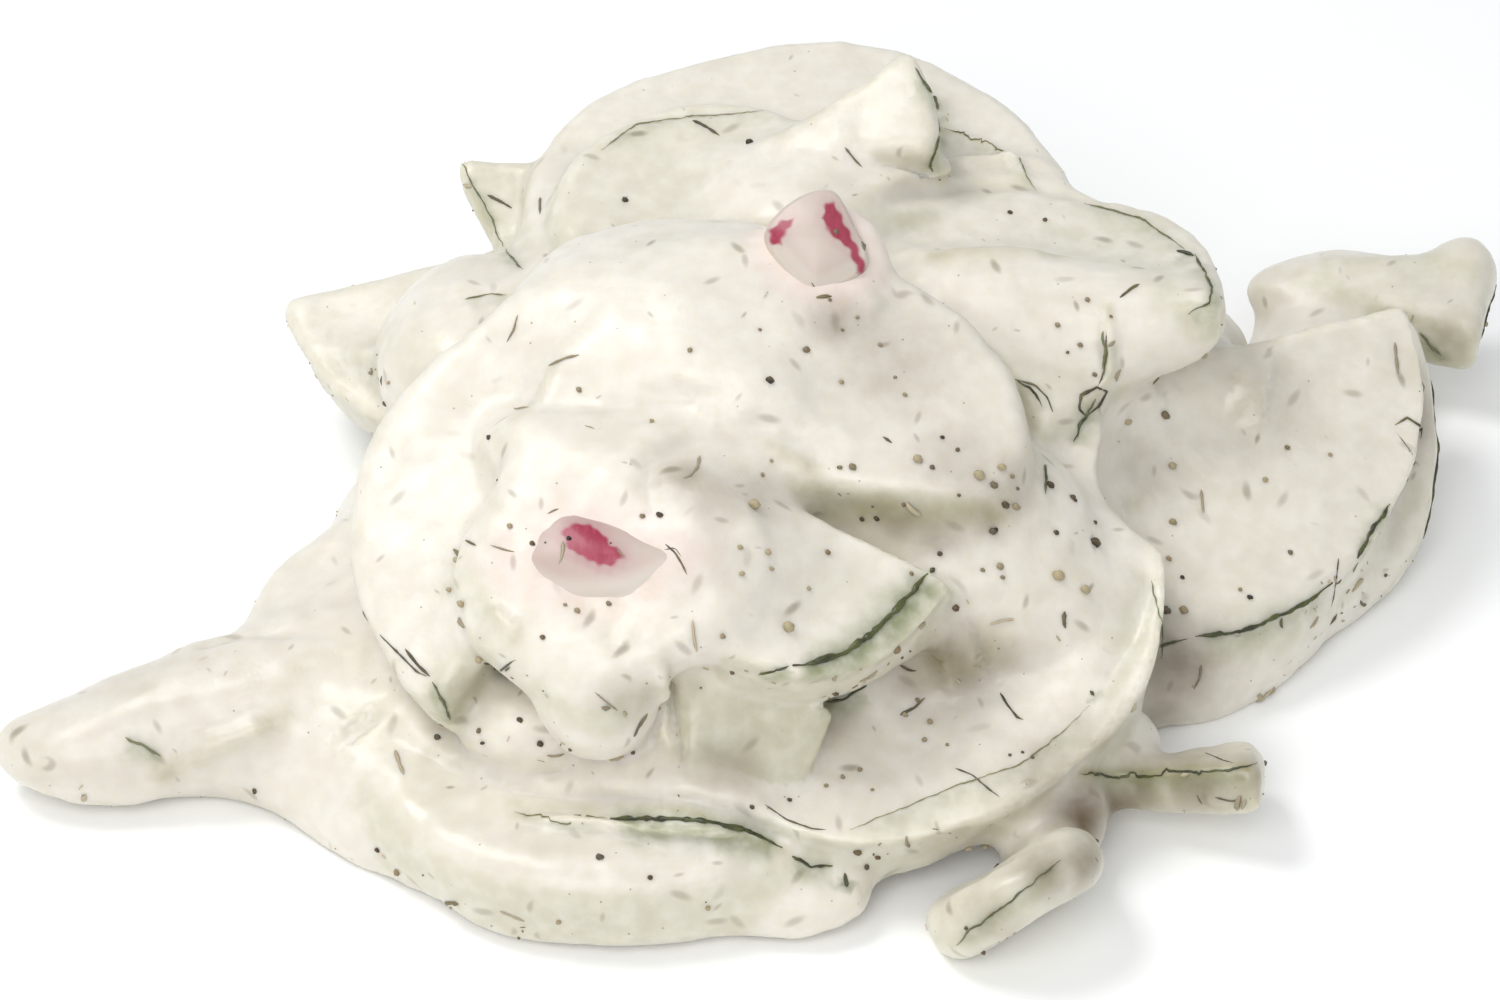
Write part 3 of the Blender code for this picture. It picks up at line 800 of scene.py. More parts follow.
# each sliver's path, width, veil and green, and the path of the green just below it
slivers = []
aside, down = sliverLook["below"]
for width, veil, green, corners in skinLines:
    lower = [(across + aside, up + down) for across, up in corners]
    slivers.append((pathOnHeap(heapTree, corners), width, veil, green, pathOnHeap(heapTree, lower)))
for name, first, last, level, width in skinRows:
    paths = [rimPath(name, first, last, level - drop) for drop in (0, sliverLook["levelBelow"])]
    slivers.append((paths[0], width, sliverLook["veil"], sliverLook["green"], paths[1]))
slivers = [sliver for sliver in slivers if len(sliver[0]) > 1 and len(sliver[4]) > 1]


# What is kept on the heap's points: pale flesh that shows through the coat on cut faces, green near
# the bare skin, painted shade with olive in creases, painted shade in gaps, hollows and undersides, and
# pink beside the radish

# share of flesh that shows through the coat on a slice's faces, where it isn't the usual
bareRows = {
    "frontChunk": 0.95,
    "topLeftWedge": 0.55,
    "innerSlice": 0.4,
    "standingWedge": 0.3,
    "rightTop": 0.3,
    "rightTopWedge": 0.35,
    "rightEnd": 0.3,
    "leftWedge": 0.25,
    "leftTongue": 0.2,
    "rightTongue": 0.45,
    "frontTongue": 0.4,
    "rightHalf": 0.15,
    "backMiddle": 0.3,
    "backRight": 0.35,
    "backLeft": 0.25,
}


# cut sides and bands where the cucumber shows pale through the coat: strength, half width in mm,
# and corners on the camera's plane
paleRows = (
    (0.8, 0.8, ((-18.8, -24.2), (-12.0, -24.9), (-4.8, -25.1), (0.8, -26.7))),
    (0.8, 1.2, ((14.6, -7.6), (11.6, -11.4), (8.6, -14.0), (6.0, -14.8))),
    (0.8, 1.6, ((-24.2, -14.8), (-21.0, -12.0))),
    (
        0.6, 1.4,
        (
            (8.8, -27.6), (17.2, -24.4), (22.4, -22.8), (26.2, -19.6), (29.4, -15.4), (31.2, -10.0),
            (31.6, -6.0),
        ),
    ),
    (0.5, 1.4, ((36.0, -12.8), (42.0, -11.6), (47.0, -8.6), (51.0, -3.8), (54.0, 2.0))),
    (0.5, 2.0, ((-24.0, -6.0), (-21.0, -8.6))),
    (0.5, 2.2, ((-33.0, 11.0), (-29.0, 13.0))),
    (0.6, 1.2, ((46.0, 19.0), (54.0, 19.4), (58.0, 18.0))),
    (0.5, 1.4, ((24.0, 21.6), (30.0, 20.0), (34.0, 16.0))),
    (0.6, 1.2, ((26.0, -21.0), (32.0, -21.2), (40.0, -20.8))),
    (0.5, 2.4, ((-6.0, 27.0), (-12.0, 24.0))),
    (0.5, 2.4, ((-30.8, -18.0), (-30.6, -18.4))),
)

# painted shade in hollows, on undersides and on parts turned from the light: strength, reach in mm,
# and the place on the camera's plane
paintedShadeRows = (
    (0.8, 5.5, 16.2, -12.8), (1.0, 4.0, 15.6, -12.4), (0.5, 4.0, 13.2, -14.4),
    (0.35, 4.0, 20.4, -13.0), (0.4, 4.0, 6.6, -17.2), (0.3, 9.0, 12.0, 11.2), (0.3, 7.0, 17.0, 3.0),
    (0.35, 5.0, 28.0, -19.2), (0.7, 6.0, 34.0, -13.0), (0.5, 4.5, 33.0, -17.0),
    (0.35, 6.0, 24.0, -21.6), (0.8, 5.0, 27.0, -25.0), (1.0, 4.5, 26.6, -25.6),
    (0.9, 4.0, 29.4, -24.6), (0.6, 4.0, 23.4, -29.6), (0.6, 4.0, 27.0, -29.0),
    (0.6, 4.0, 31.0, -23.4), (0.65, 5.0, 35.6, -22.6), (0.5, 4.0, 40.0, -21.6),
    (0.35, 4.0, 19.2, -33.6), (0.5, 4.0, 17.6, -28.4), (0.35, 5.0, -1.8, -21.6),
    (0.25, 5.0, 31.2, 2.4), (0.2, 6.0, 42.0, 9.6), (0.3, 4.5, 54.0, 6.4), (0.3, 4.0, -22.8, -15.6),
    (0.25, 4.0, -9.6, -16.0), (0.25, 4.0, 56.0, 13.6), (0.3, 4.0, 17.0, -1.2),
    (0.2, 4.0, 27.2, 7.2), (0.5, 4.0, 6.8, 14.6), (0.5, 4.0, -5.2, 1.8), (0.4, 5.0, -3.0, 0.4),
    (0.3, 6.0, 0.6, 0.4), (0.2, 6.0, -3.4, -4.6), (0.6, 3.5, 12.0, -1.6), (0.5, 4.0, 15.0, -2.6),
    (0.4, 3.5, 19.0, -1.6), (0.35, 5.0, 21.0, 1.0), (0.17, 16.0, -48.0, -16.0),
    (0.12, 8.0, -56.0, -20.4), (0.08, 14.0, -15.2, -30.4), (0.08, 6.0, -18.4, 25.2),
)


showLook = {
    "face": 0.06,  # share of flesh that shows on a slice's face, where bareRows has none
    "rim": 0.65,  # and on its rim, against 1 on its cuts
    "creaseWidth": 0.8,  # half width of a crease's painted shade and olive, as a share of the mark's
    "greenWidth": 1.6,  # half width of the green below a sliver, in widths of the sliver
    "greenSoft": 0.45,  # and what is added to it, in mm
    "paintedShadeWidth": 0.6,  # half width of a place of painted shade, as a share of its reach
    "gaps": ((1.5, 0.4), (4.0, 0.6)),  # mm out at which a gap is felt for the painted shade, and the weight of each
}


def sliceShows(points):
    near = np.full(len(points), 9.0)
    flesh = np.zeros(len(points))
    for phase, (name, row) in enumerate(slices.items()):
        matrix = placing(row["at"], row["lean"], row["faces"])
        local = (points - np.array(matrix.translation)) @ np.array(matrix.to_3x3())
        x, y, z = local.T
        edge, blend, corner = coatRows.get(name, heapLook["coat"])
        chosen = np.flatnonzero(np.hypot(np.hypot(x, y), z) < row["radius"] * 1.1 + 4)
        x, y, z = x[chosen], y[chosen], z[chosen]
        gap = sliceDistance(row, phase, edge, corner, x, y, z)
        skin, cuts, height = sliceParts(row, phase, corner, x, y, z)
        side = smoothStep(-1.2, 0.1, np.maximum(skin, cuts))
        side *= smoothStep(1.15, 0.7, np.abs(height) / (row["thick"] / 2))
        side *= np.where(cuts > skin - 0.5, 1.0, showLook["rim"])
        shown = np.maximum(side, bareRows.get(name, showLook["face"])) * smoothStep(1.4, 0.2, gap)
        closer = gap < near[chosen]
        near[chosen[closer]] = gap[closer]
        flesh[chosen[closer]] = shown[closer]
    return flesh


def gapShade(points, normals):
    # painted shade in gaps: how closed in a point is, from the grid's distance a little way out, against
    # open air
    shade = np.zeros(len(points))
    for reach, weight in showLook["gaps"]:
        spots = np.rint((points + normals * reach - heapGrid.low) / heapGrid.step).astype(int)
        spots = np.clip(spots, 0, np.array(heapGrid.values.shape) - 1)
        opened = heapGrid.values[spots[:, 0], spots[:, 1], spots[:, 2]] / reach
        shade += weight * smoothStep(0.75, 0.1, opened)
    return shade


def markHeap(piece):
    mesh = piece.data
    frameMm = pointsOf(mesh) / mm
    plan = frameMm - np.array(offset)
    # painted shade with the olive of a thin coat along the creases
    creaseShadeAndOlive = np.zeros(len(plan))
    for name, path in markPaths.items():
        width, tint = markRows[name][1:3]
        if tint:
            chosen, gap, share = nearPath(frameMm, path, width * 3)
            fade = np.exp(-(gap / (showLook["creaseWidth"] * width)) ** 2)
            creaseShadeAndOlive[chosen] = np.maximum(creaseShadeAndOlive[chosen], tint * fade)
    greens = np.zeros(len(plan))
    for path, width, veil, green, below in slivers:
        chosen, gap, share = nearPath(frameMm, below, 3.5)
        ends = smoothStep(0.0, 0.12, share) * smoothStep(0.0, 0.12, 1 - share)
        fade = np.exp(-(gap / (showLook["greenWidth"] * width + showLook["greenSoft"])) ** 2)
        greens[chosen] = np.maximum(greens[chosen], green * ends * fade)
    flesh = sliceShows(plan)
    for strength, width, corners in paleRows:
        chosen, gap, share = nearPath(frameMm, pathOnHeap(heapTree, corners), 3 * width)
        flesh[chosen] = np.maximum(flesh[chosen], strength * np.exp(-(gap / width) ** 2))
    storePoints(mesh, "flesh", flesh)
    storePoints(mesh, "green", greens)
    storePoints(mesh, "crease", creaseShadeAndOlive)
    storePoints(mesh, "shade", gapShade(plan, normalsOf(mesh)))
    # painted shade in hollows, on undersides and on parts turned from the light
    paintedShadeAmounts = np.zeros(len(plan))
    for strength, reach, across, up in paintedShadeRows:
        hit = fallOnHeap(heapTree, across, up)
        if hit:
            gap = np.linalg.norm(frameMm - np.array(hit) / mm, axis=1)
            paintedShadeAmounts = np.maximum(paintedShadeAmounts, strength * np.exp(-(gap / (showLook["paintedShadeWidth"] * reach)) ** 2))
    storePoints(mesh, "paintedShade", paintedShadeAmounts)


markHeap(heap)
print("heap is marked")

dressingLook = {
    "cream": "#F8F8F3",
    "thin": "#E6E7DC",  # where the coat is thin over cucumber
    # laid over these in turn: the attribute that says where, the colour, and the shares of it that
    # show where the fine mottling is weak and where it is strong
    "layers": (
        ("flesh", "#D2D7C4", 0.55, 0.95),
        # painted shade in gaps
        ("shade", "#B39F7C", 0.36, 0.44),
        # painted shade in hollows, on undersides and on parts turned from the light
        ("paintedShade", "#665233", 0.9, 1.0),
        # painted shade with the olive of a thin coat in creases
        ("crease", "#938B58", 0.75, 0.85),
        ("green", "#737D4C", 0.4, 0.85),
        ("blush", "#E8C6C1", 0.22, 0.28),
    ),
    "sunken": "#7A6F56",  # dill that lies under the coat
    "dusty": "#6A604C",  # specks of ground pepper
    "patch": 8.0,  # mm across a thin place in the coat
    "cell": 3.4,  # mm between sunken threads
    "thread": (0.6, 0.24),  # mm, half length and half width of a sunken thread
    "dust": 1.15,  # mm between specks of pepper
    "mottle": 620.0,  # cells to a metre in the fine mottling, 1.6 mm across
    "grain": 0.8,  # mm across the fine bumps of the coat, as coarse as they need to show
}

softly = {"interpolation_type": "SMOOTHSTEP"}


def sunkenThreads(tree, place, normal):
    # short threads lying in the surface, one in each cell, turned at random, soft at the edges
    inputs = {"Vector": place, "Scale": 1000.0 / dressingLook["cell"]}
    cells = addNode(tree, "ShaderNodeTexVoronoi", inputs)
    colour = cells.outputs["Color"]
    inputs = {0: place, 1: cells.outputs["Position"]}
    away = addNode(tree, "ShaderNodeVectorMath", inputs, operation="SUBTRACT")
    deep = addNode(tree, "ShaderNodeVectorMath", {0: away, 1: normal}, operation="DOT_PRODUCT")
    aimed = addNode(tree, "ShaderNodeVectorMath", {0: colour, 1: (0.5, 0.5, 0.5)}, operation="SUBTRACT")
    crossed = addNode(tree, "ShaderNodeVectorMath", {0: aimed, 1: normal}, operation="CROSS_PRODUCT")
    along = addNode(tree, "ShaderNodeVectorMath", {0: crossed}, operation="NORMALIZE")
    across = addNode(tree, "ShaderNodeVectorMath", {0: along, 1: normal}, operation="CROSS_PRODUCT")
    squares = []
    for direction, reach in zip((along, across), dressingLook["thread"]):
        inputs = {0: away, 1: direction}
        part = addNode(tree, "ShaderNodeVectorMath", inputs, operation="DOT_PRODUCT")
        inputs = {0: part.outputs["Value"], 1: reach * mm}
        scaled = addNode(tree, "ShaderNodeMath", inputs, operation="DIVIDE")
        squares.append(addNode(tree, "ShaderNodeMath", {0: scaled, 1: 2.0}, operation="POWER"))
    total = addNode(tree, "ShaderNodeMath", {0: squares[0], 1: squares[1]})
    outside = addNode(tree, "ShaderNodeMath", {0: total}, operation="SQRT")
    drawn = addNode(tree, "ShaderNodeSeparateColor", {0: colour})
    inputs = {"Value": drawn.outputs[2], "To Min": 0.45, "To Max": 1.5}
    size = addNode(tree, "ShaderNodeMapRange", inputs, **softly)
    sized = addNode(tree, "ShaderNodeMath", {0: outside, 1: size}, operation="DIVIDE")
    inputs = {"Value": sized, "From Min": 1.4, "From Max": 0.3}
    thread = addNode(tree, "ShaderNodeMapRange", inputs, **softly)
    buried = addNode(tree, "ShaderNodeMath", {0: deep.outputs["Value"]}, operation="ABSOLUTE")
    inputs = {"Value": buried, "From Min": 0.9 * mm, "From Max": 0.35 * mm}
    shallow = addNode(tree, "ShaderNodeMapRange", inputs, **softly)
    shown = addNode(tree, "ShaderNodeMath", {0: thread, 1: shallow}, operation="MULTIPLY")
    return shown.outputs[0]


def dressingMaterial():
    # sour cream and mayonnaise dressing, stirred: satin, thick, lets light a millimetre or two in
    made, tree = newMaterial("sour cream dressing")
    place = addNode(tree, "ShaderNodeTexCoord").outputs["Object"]
    normal = addNode(tree, "ShaderNodeNewGeometry").outputs["Normal"]
    inputs = {"Vector": place, "Scale": 1000.0 / dressingLook["patch"], "Roughness": 0.5}
    cloud = addNode(tree, "ShaderNodeTexNoise", inputs)
    inputs = {"Value": cloud, "From Min": 0.48, "From Max": 0.72}
    patches = addNode(tree, "ShaderNodeMapRange", inputs, **softly).outputs[0]
    inputs = {"Vector": place, "Scale": dressingLook["mottle"], "Detail": 3.0, "Roughness": 0.5}
    fine = addNode(tree, "ShaderNodeTexNoise", inputs)
    share = addNode(tree, "ShaderNodeMath", {0: patches, 1: 0.55}, operation="MULTIPLY")
    inputs = {"Factor": share, 6: hexColour(dressingLook["cream"]), 7: hexColour(dressingLook["thin"])}
    colour = addNode(tree, "ShaderNodeMix", inputs, data_type="RGBA").outputs[2]
    for name, tint, least, most in dressingLook["layers"]:
        where = addNode(tree, "ShaderNodeAttribute", attribute_name=name)
        inputs = {"Value": fine, "From Min": 0.25, "From Max": 0.7, "To Min": least, "To Max": most}
        mottled = addNode(tree, "ShaderNodeMapRange", inputs, **softly)
        inputs = {0: where.outputs["Fac"], 1: mottled}
        share = addNode(tree, "ShaderNodeMath", inputs, operation="MULTIPLY")
        inputs = {"Factor": share, 6: colour, 7: hexColour(tint)}
        colour = addNode(tree, "ShaderNodeMix", inputs, data_type="RGBA").outputs[2]
    inputs = {"Value": patches, "To Min": 0.35, "To Max": 0.6}
    thinner = addNode(tree, "ShaderNodeMapRange", inputs, **softly)
    inputs = {0: sunkenThreads(tree, place, normal), 1: thinner}
    share = addNode(tree, "ShaderNodeMath", inputs, operation="MULTIPLY")
    inputs = {"Factor": share, 6: colour, 7: hexColour(dressingLook["sunken"])}
    colour = addNode(tree, "ShaderNodeMix", inputs, data_type="RGBA").outputs[2]
    inputs = {"Vector": place, "Scale": 1000.0 / dressingLook["dust"]}
    dust = addNode(tree, "ShaderNodeTexVoronoi", inputs)
    inputs = {"Value": dust.outputs["Distance"], "From Min": 0.1, "From Max": 0.04}
    speck = addNode(tree, "ShaderNodeMapRange", inputs, **softly)
    drawn = addNode(tree, "ShaderNodeSeparateColor", {0: dust.outputs["Color"]})
    inputs = {"Value": drawn, "From Min": 0.72, "From Max": 0.78, "To Max": 0.6}
    few = addNode(tree, "ShaderNodeMapRange", inputs, **softly)
    share = addNode(tree, "ShaderNodeMath", {0: speck, 1: few}, operation="MULTIPLY")
    inputs = {"Factor": share, 6: colour, 7: hexColour(dressingLook["dusty"])}
    colour = addNode(tree, "ShaderNodeMix", inputs, data_type="RGBA").outputs[2]
    inputs = {"Vector": place, "Scale": 1000.0 / dressingLook["grain"], "Detail": 2.0, "Roughness": 0.5}
    grain = addNode(tree, "ShaderNodeTexNoise", inputs)
    inputs = {"Strength": 0.35, "Distance": 0.1 * mm, "Height": grain}
    bumps = addNode(tree, "ShaderNodeBump", inputs)
    inputs = {"Value": patches, "To Min": 0.44, "To Max": 0.32}
    wetter = addNode(tree, "ShaderNodeMapRange", inputs, **softly)
    seam = addNode(tree, "ShaderNodeAttribute", attribute_name="seam")
    inputs = {"Value": seam.outputs["Fac"], "To Min": 0.9 * mm, "To Max": 0.05 * mm}
    deep = addNode(tree, "ShaderNodeMapRange", inputs, **softly)
    inputs = {
        "Base Color": colour,
        "Roughness": wetter,
        "Subsurface Weight": 1.0,
        "Subsurface Radius": (1.0, 0.95, 0.7),
        "Subsurface Scale": deep,
        "Coat Weight": 0.25,
        "Coat Roughness": 0.24,
        "Normal": bumps,
    }
    shader = addNode(tree, "ShaderNodeBsdfPrincipled", inputs)
    addNode(tree, "ShaderNodeOutputMaterial", {"Surface": shader.outputs["BSDF"]})
    return made


heap.data.materials.clear()
heap.data.materials.append(dressingMaterial())


# The radish pieces: outlines rounded, upper faces slightly domed, with the red skin left on

radishLook = {
    "around": 150,  # points round a piece
    "dome": 0.85,  # mm that the upper face rises from its rim to its middle
    "edge": 0.12,  # share of a piece's reach that is rounded off
    "flesh": "#C0ACA2",
    "coated": "#CDC3B7",
    "skin": "#9B1F40",
    "pale": "#A93A58",
    "halo": "#B08488",
    "streak": 2220.0,  # cells to a metre in the red skin's streaks, 0.45 mm across
}

# red skin on a piece: its strength, and its corners in mm on the piece's own plane
skinPatches = {
    "radishUpper": (
        (
            1.0,
            (
                (-3.7, 0.7), (-3.5, -0.3), (-2.7, -0.4), (-2.5, 0.3), (-1.7, 1.5), (-2.5, 1.5),
                (-3.0, 1.1),
            ),
        ),
        (
            0.95,
            (
                (0.7, 2.9), (0.5, 1.5), (1.1, 0.3), (1.9, -0.3), (2.6, -1.0), (3.2, -2.5),
                (3.9, -2.6), (3.6, -1.6), (3.0, -0.3), (2.5, 0.6), (2.0, 1.6), (1.4, 2.8),
            ),
        ),
    ),
    "radishLower": (
        (
            1.0,
            (
                (-2.5, 2.0), (-2.0, 0.8), (-0.8, -0.1), (0.2, -0.7), (1.1, -0.8), (2.0, -0.3),
                (1.9, 0.4), (1.1, 0.9), (0.5, 1.8), (-0.3, 2.7), (-1.4, 2.8), (-2.3, 2.6),
            ),
        ),
    ),
}


def roundedOutline(corners, count):
    # an even closed curve through the corners
    points = []
    for k in range(count):
        first, share = divmod(k * len(corners) / count, 1.0)
        a, b, c, d = (Vector(corners[(int(first) + step) % len(corners)]) for step in (-1, 0, 1, 2))
        bend = 2 * a - 5 * b + 4 * c - d
        twist = 3 * b - a - 3 * c + d
        points.append(0.5 * (2 * b + (c - a) * share + bend * share ** 2 + twist * share ** 3))
    return points


def edgeDistance(corners, x, y):
    # how far points are outside an outline, in mm, and less than zero inside it
    near = np.full_like(x, 99.0)
    inside = np.zeros(x.shape, bool)
    for (ax, ay), (bx, by) in zip(corners, corners[1:] + corners[:1]):
        dx, dy = bx - ax, by - ay
        share = np.clip(((x - ax) * dx + (y - ay) * dy) / (dx * dx + dy * dy), 0, 1)
        near = np.minimum(near, np.hypot(x - ax - share * dx, y - ay - share * dy))
        if dy:
            inside ^= ((ay > y) != (by > y)) & (x < dx * (y - ay) / dy + ax)
    return np.where(inside, -near, near)


def buildRadish(name):
    row = radishRows[name]
    half = radishThickness / 2
    outline = roundedOutline(row["outline"], radishLook["around"])
    middle = sum(outline, Vector((0, 0))) / len(outline)
    # rings from the middle of the upper face, over the rim, to the middle of the lower face
    dome, edge = radishLook["dome"], radishLook["edge"]
    flat = 1 - edge
    rings = [(flat * k / 26, half + dome * (0.55 - (k / 26) ** 2)) for k in range(1, 27)]
    turns = np.linspace(0.2, 1.5, 6)
    corner = [(1 - edge * (1 - math.sin(turn)), 0.4 * (1 - math.cos(turn))) for turn in turns]
    rings += [(share, half - 0.45 * dome - half * drop) for share, drop in corner]
    rings += [(1.0, half * level) for level in (0.2, 0.0, -0.3)]
    rings += [(share, half * (drop - 1)) for share, drop in reversed(corner)]
    rings += [(share, -half) for share in (0.7, 0.4, 0.1)]
    form = bmesh.new()
    laid = []
    for share, height in rings:
        ring = [middle + (point - middle) * share for point in outline]
        laid.append([form.verts.new((*point, height)) for point in ring])
    for upper, lower in zip(laid, laid[1:]):
        for k in range(len(outline)):
            form.faces.new((upper[k - 1], lower[k - 1], lower[k], upper[k]))
    form.faces.new(laid[0])
    form.faces.new(reversed(laid[-1]))
    bmesh.ops.recalc_face_normals(form, faces=form.faces)
    mesh = bpy.data.meshes.new(name)
    form.to_mesh(mesh)
    form.free()
    flat = pointsOf(mesh)
    x, y = flat[:, 0], flat[:, 1]
    skin = np.zeros(len(x))
    halo = np.zeros(len(x))
    for strength, corners in skinPatches[name]:
        gap = edgeDistance(corners, x, y)
        gap += 0.12 * np.sin(5.1 * x + 2.3 * y) * np.sin(4.3 * y - 1.7 * x)
        gap[flat[:, 2] < 0] = 9.0
        skin = np.maximum(skin, strength * smoothStep(0.14, -0.12, gap))
        halo = np.maximum(halo, 0.55 * smoothStep(1.1, 0.0, gap))
    storePoints(mesh, "skin", skin)
    storePoints(mesh, "halo", halo)
    rim = edgeDistance([tuple(point) for point in outline], x, y)
    storePoints(mesh, "rim", smoothStep(-2.4, -1.2, rim))
    coat = smoothStep(-2.2, -1.0, rim) * smoothStep(2.5, -1.5, y)
    storePoints(mesh, "coat", np.maximum(row["cover"], coat))
    mesh.transform(placing(row["at"], row["lean"], row["faces"]))
    mesh.transform(Matrix.Translation(offset))
    mesh.transform(Matrix.Scale(mm, 4))
    mesh.shade_smooth()
    return linkObject(name, mesh)


def radishMaterial():
    # cut radish, wet and thinly coated: clear white flesh, rose-red skin that bleeds a little
    made, tree = newMaterial("cut radish")
    place = addNode(tree, "ShaderNodeTexCoord").outputs["Object"]
    inputs = {"Vector": place, "Scale": (1.0, 0.35, 0.6)}
    stretched = addNode(tree, "ShaderNodeMapping", inputs).outputs[0]
    inputs = {"Vector": stretched, "Scale": radishLook["streak"], "Detail": 3.0}
    cloud = addNode(tree, "ShaderNodeTexNoise", inputs)
    inputs = {"Value": cloud, "From Min": 0.38, "From Max": 0.66, "To Max": 0.7}
    streaks = addNode(tree, "ShaderNodeMapRange", inputs, **softly)
    inputs = {"Factor": streaks, 6: hexColour(radishLook["skin"]), 7: hexColour(radishLook["pale"])}
    red = addNode(tree, "ShaderNodeMix", inputs, data_type="RGBA").outputs[2]
    colour = hexColour(radishLook["flesh"])
    halo, coated = hexColour(radishLook["halo"]), hexColour(radishLook["coated"])
    for name, tint in (("halo", halo), ("coat", coated), ("skin", red)):
        where = addNode(tree, "ShaderNodeAttribute", attribute_name=name)
        inputs = {"Factor": where.outputs["Fac"], 6: colour, 7: tint}
        colour = addNode(tree, "ShaderNodeMix", inputs, data_type="RGBA").outputs[2]
    rim = addNode(tree, "ShaderNodeAttribute", attribute_name="rim")
    inputs = {"Value": rim.outputs["Fac"], "To Min": 0.4 * mm, "To Max": 0.04 * mm}
    deep = addNode(tree, "ShaderNodeMapRange", inputs, **softly)
    inputs = {
        "Base Color": colour,
        "Roughness": 0.42,
        "Subsurface Weight": 1.0,
        "Subsurface Radius": (1.0, 0.7, 0.6),
        "Subsurface Scale": deep,
        "Coat Weight": 0.15,
        "Coat Roughness": 0.2,
    }
    shader = addNode(tree, "ShaderNodeBsdfPrincipled", inputs)
    addNode(tree, "ShaderNodeOutputMaterial", {"Surface": shader.outputs["BSDF"]})
    return made


def markSeam(piece, chips):
    # how close each point of the heap is to a radish piece, for the pink beside it
    points = pointsOf(piece.data)
    near = np.full(len(points), 99.0)
    for chip in chips:
        tree = surfaceTree(chip)
        middle = pointsOf(chip.data).mean(0)
        for k in np.flatnonzero(np.linalg.norm(points - middle, axis=1) < 14 * mm):
            near[k] = min(near[k], tree.find_nearest(points[k].tolist())[3] / mm)
    storePoints(piece.data, "seam", smoothStep(1.6, 0.3, near))
    storePoints(piece.data, "blush", smoothStep(3.2, 0.0, near))


radishes = [buildRadish(name) for name in radishRows]
markSeam(heap, radishes)
radishStuff = radishMaterial()
for radish in radishes:
    radish.data.materials.append(radishStuff)
print("radish is laid on")


# Dill, pepper and slivers of cucumber skin. Each is one mesh, made by a geometry tree that lays
# short edge chains, or single points, on the dressed surface and gives them their thickness.

# how fine the patterns of the flecks are, in cells to a metre, and mm across each
fleckCells = {
    "patch": 71.4,  # where flecks lie closer, 14 mm
    "notch": 1110.0,  # the uneven width of a thread or sliver, 0.9 mm
    "bend": 900.0,  # the wandering line of a sliver, 1.1 mm
    "chip": 4000.0,  # the broken faces of a crumb, 0.25 mm
}

surfaces = bpy.data.collections.new("dressed surfaces")
for piece in (heap, *radishes):
    surfaces.objects.link(piece)


def chainMesh(name, chains, values=()):
    # edge chains as one mesh; values are the names and, for each chain, the numbers kept on it
    mesh = bpy.data.meshes.new(name)
    points = [point for chain in chains for point in chain]
    edges, first = [], 0
    for chain in chains:
        edges += [(first + k, first + k + 1) for k in range(len(chain) - 1)]
        first += len(chain)
    mesh.from_pydata(points, edges, [])
    for label, numbers in values:
        spread = [number for chain, number in zip(chains, numbers) for point in chain]
        mesh.attributes.new(label, "FLOAT", "POINT").data.foreach_set("value", spread)
    return mesh


def surfaceOf(tree, group):
    inputs = {"Collection": group}
    found = addNode(tree, "GeometryNodeCollectionInfo", inputs, transform_space="RELATIVE")
    return addNode(tree, "GeometryNodeRealizeInstances", {0: found}).outputs[0]


def layOn(tree, surface, points, lift):
    # moves points to the nearest place on the surface and off it along its normal
    nearest = addNode(tree, "GeometryNodeProximity", {"Geometry": surface})
    facing = addNode(tree, "GeometryNodeInputNormal")
    inputs = {"Mesh": surface, "Value": facing}
    sampled = addNode(tree, "GeometryNodeSampleNearestSurface", inputs, data_type="FLOAT_VECTOR")
    away = addNode(tree, "ShaderNodeVectorMath", {0: sampled, "Scale": lift}, operation="SCALE")
    there = addNode(tree, "ShaderNodeVectorMath", {0: nearest.outputs["Position"], 1: away})
    moved = addNode(tree, "GeometryNodeSetPosition", {"Geometry": points, "Position": there})
    return moved.outputs[0]


def scatterOn(tree, surface, density, seed):
    # points over the upper and side faces, closer in some places, standing along the normal
    facing = addNode(tree, "GeometryNodeInputNormal")
    parts = addNode(tree, "ShaderNodeSeparateXYZ", {0: facing})
    inputs = {"A": parts.outputs["Z"], "B": -0.45}
    upper = addNode(tree, "FunctionNodeCompare", inputs, operation="GREATER_THAN")
    place = addNode(tree, "GeometryNodeInputPosition")
    inputs = {"Vector": place, "Scale": fleckCells["patch"], "Detail": 2.0, "Roughness": 0.5}
    cloud = addNode(tree, "ShaderNodeTexNoise", inputs)
    inputs = {"Value": cloud, "From Min": 0.32, "From Max": 0.68, "To Min": 0.25, "To Max": 1.9}
    closer = addNode(tree, "ShaderNodeMapRange", inputs, **softly)
    density = addNode(tree, "ShaderNodeMath", {0: density, 1: closer}, operation="MULTIPLY")
    inputs = {"Mesh": surface, "Selection": upper, "Density": density, "Seed": seed}
    return addNode(tree, "GeometryNodeDistributePointsOnFaces", inputs)


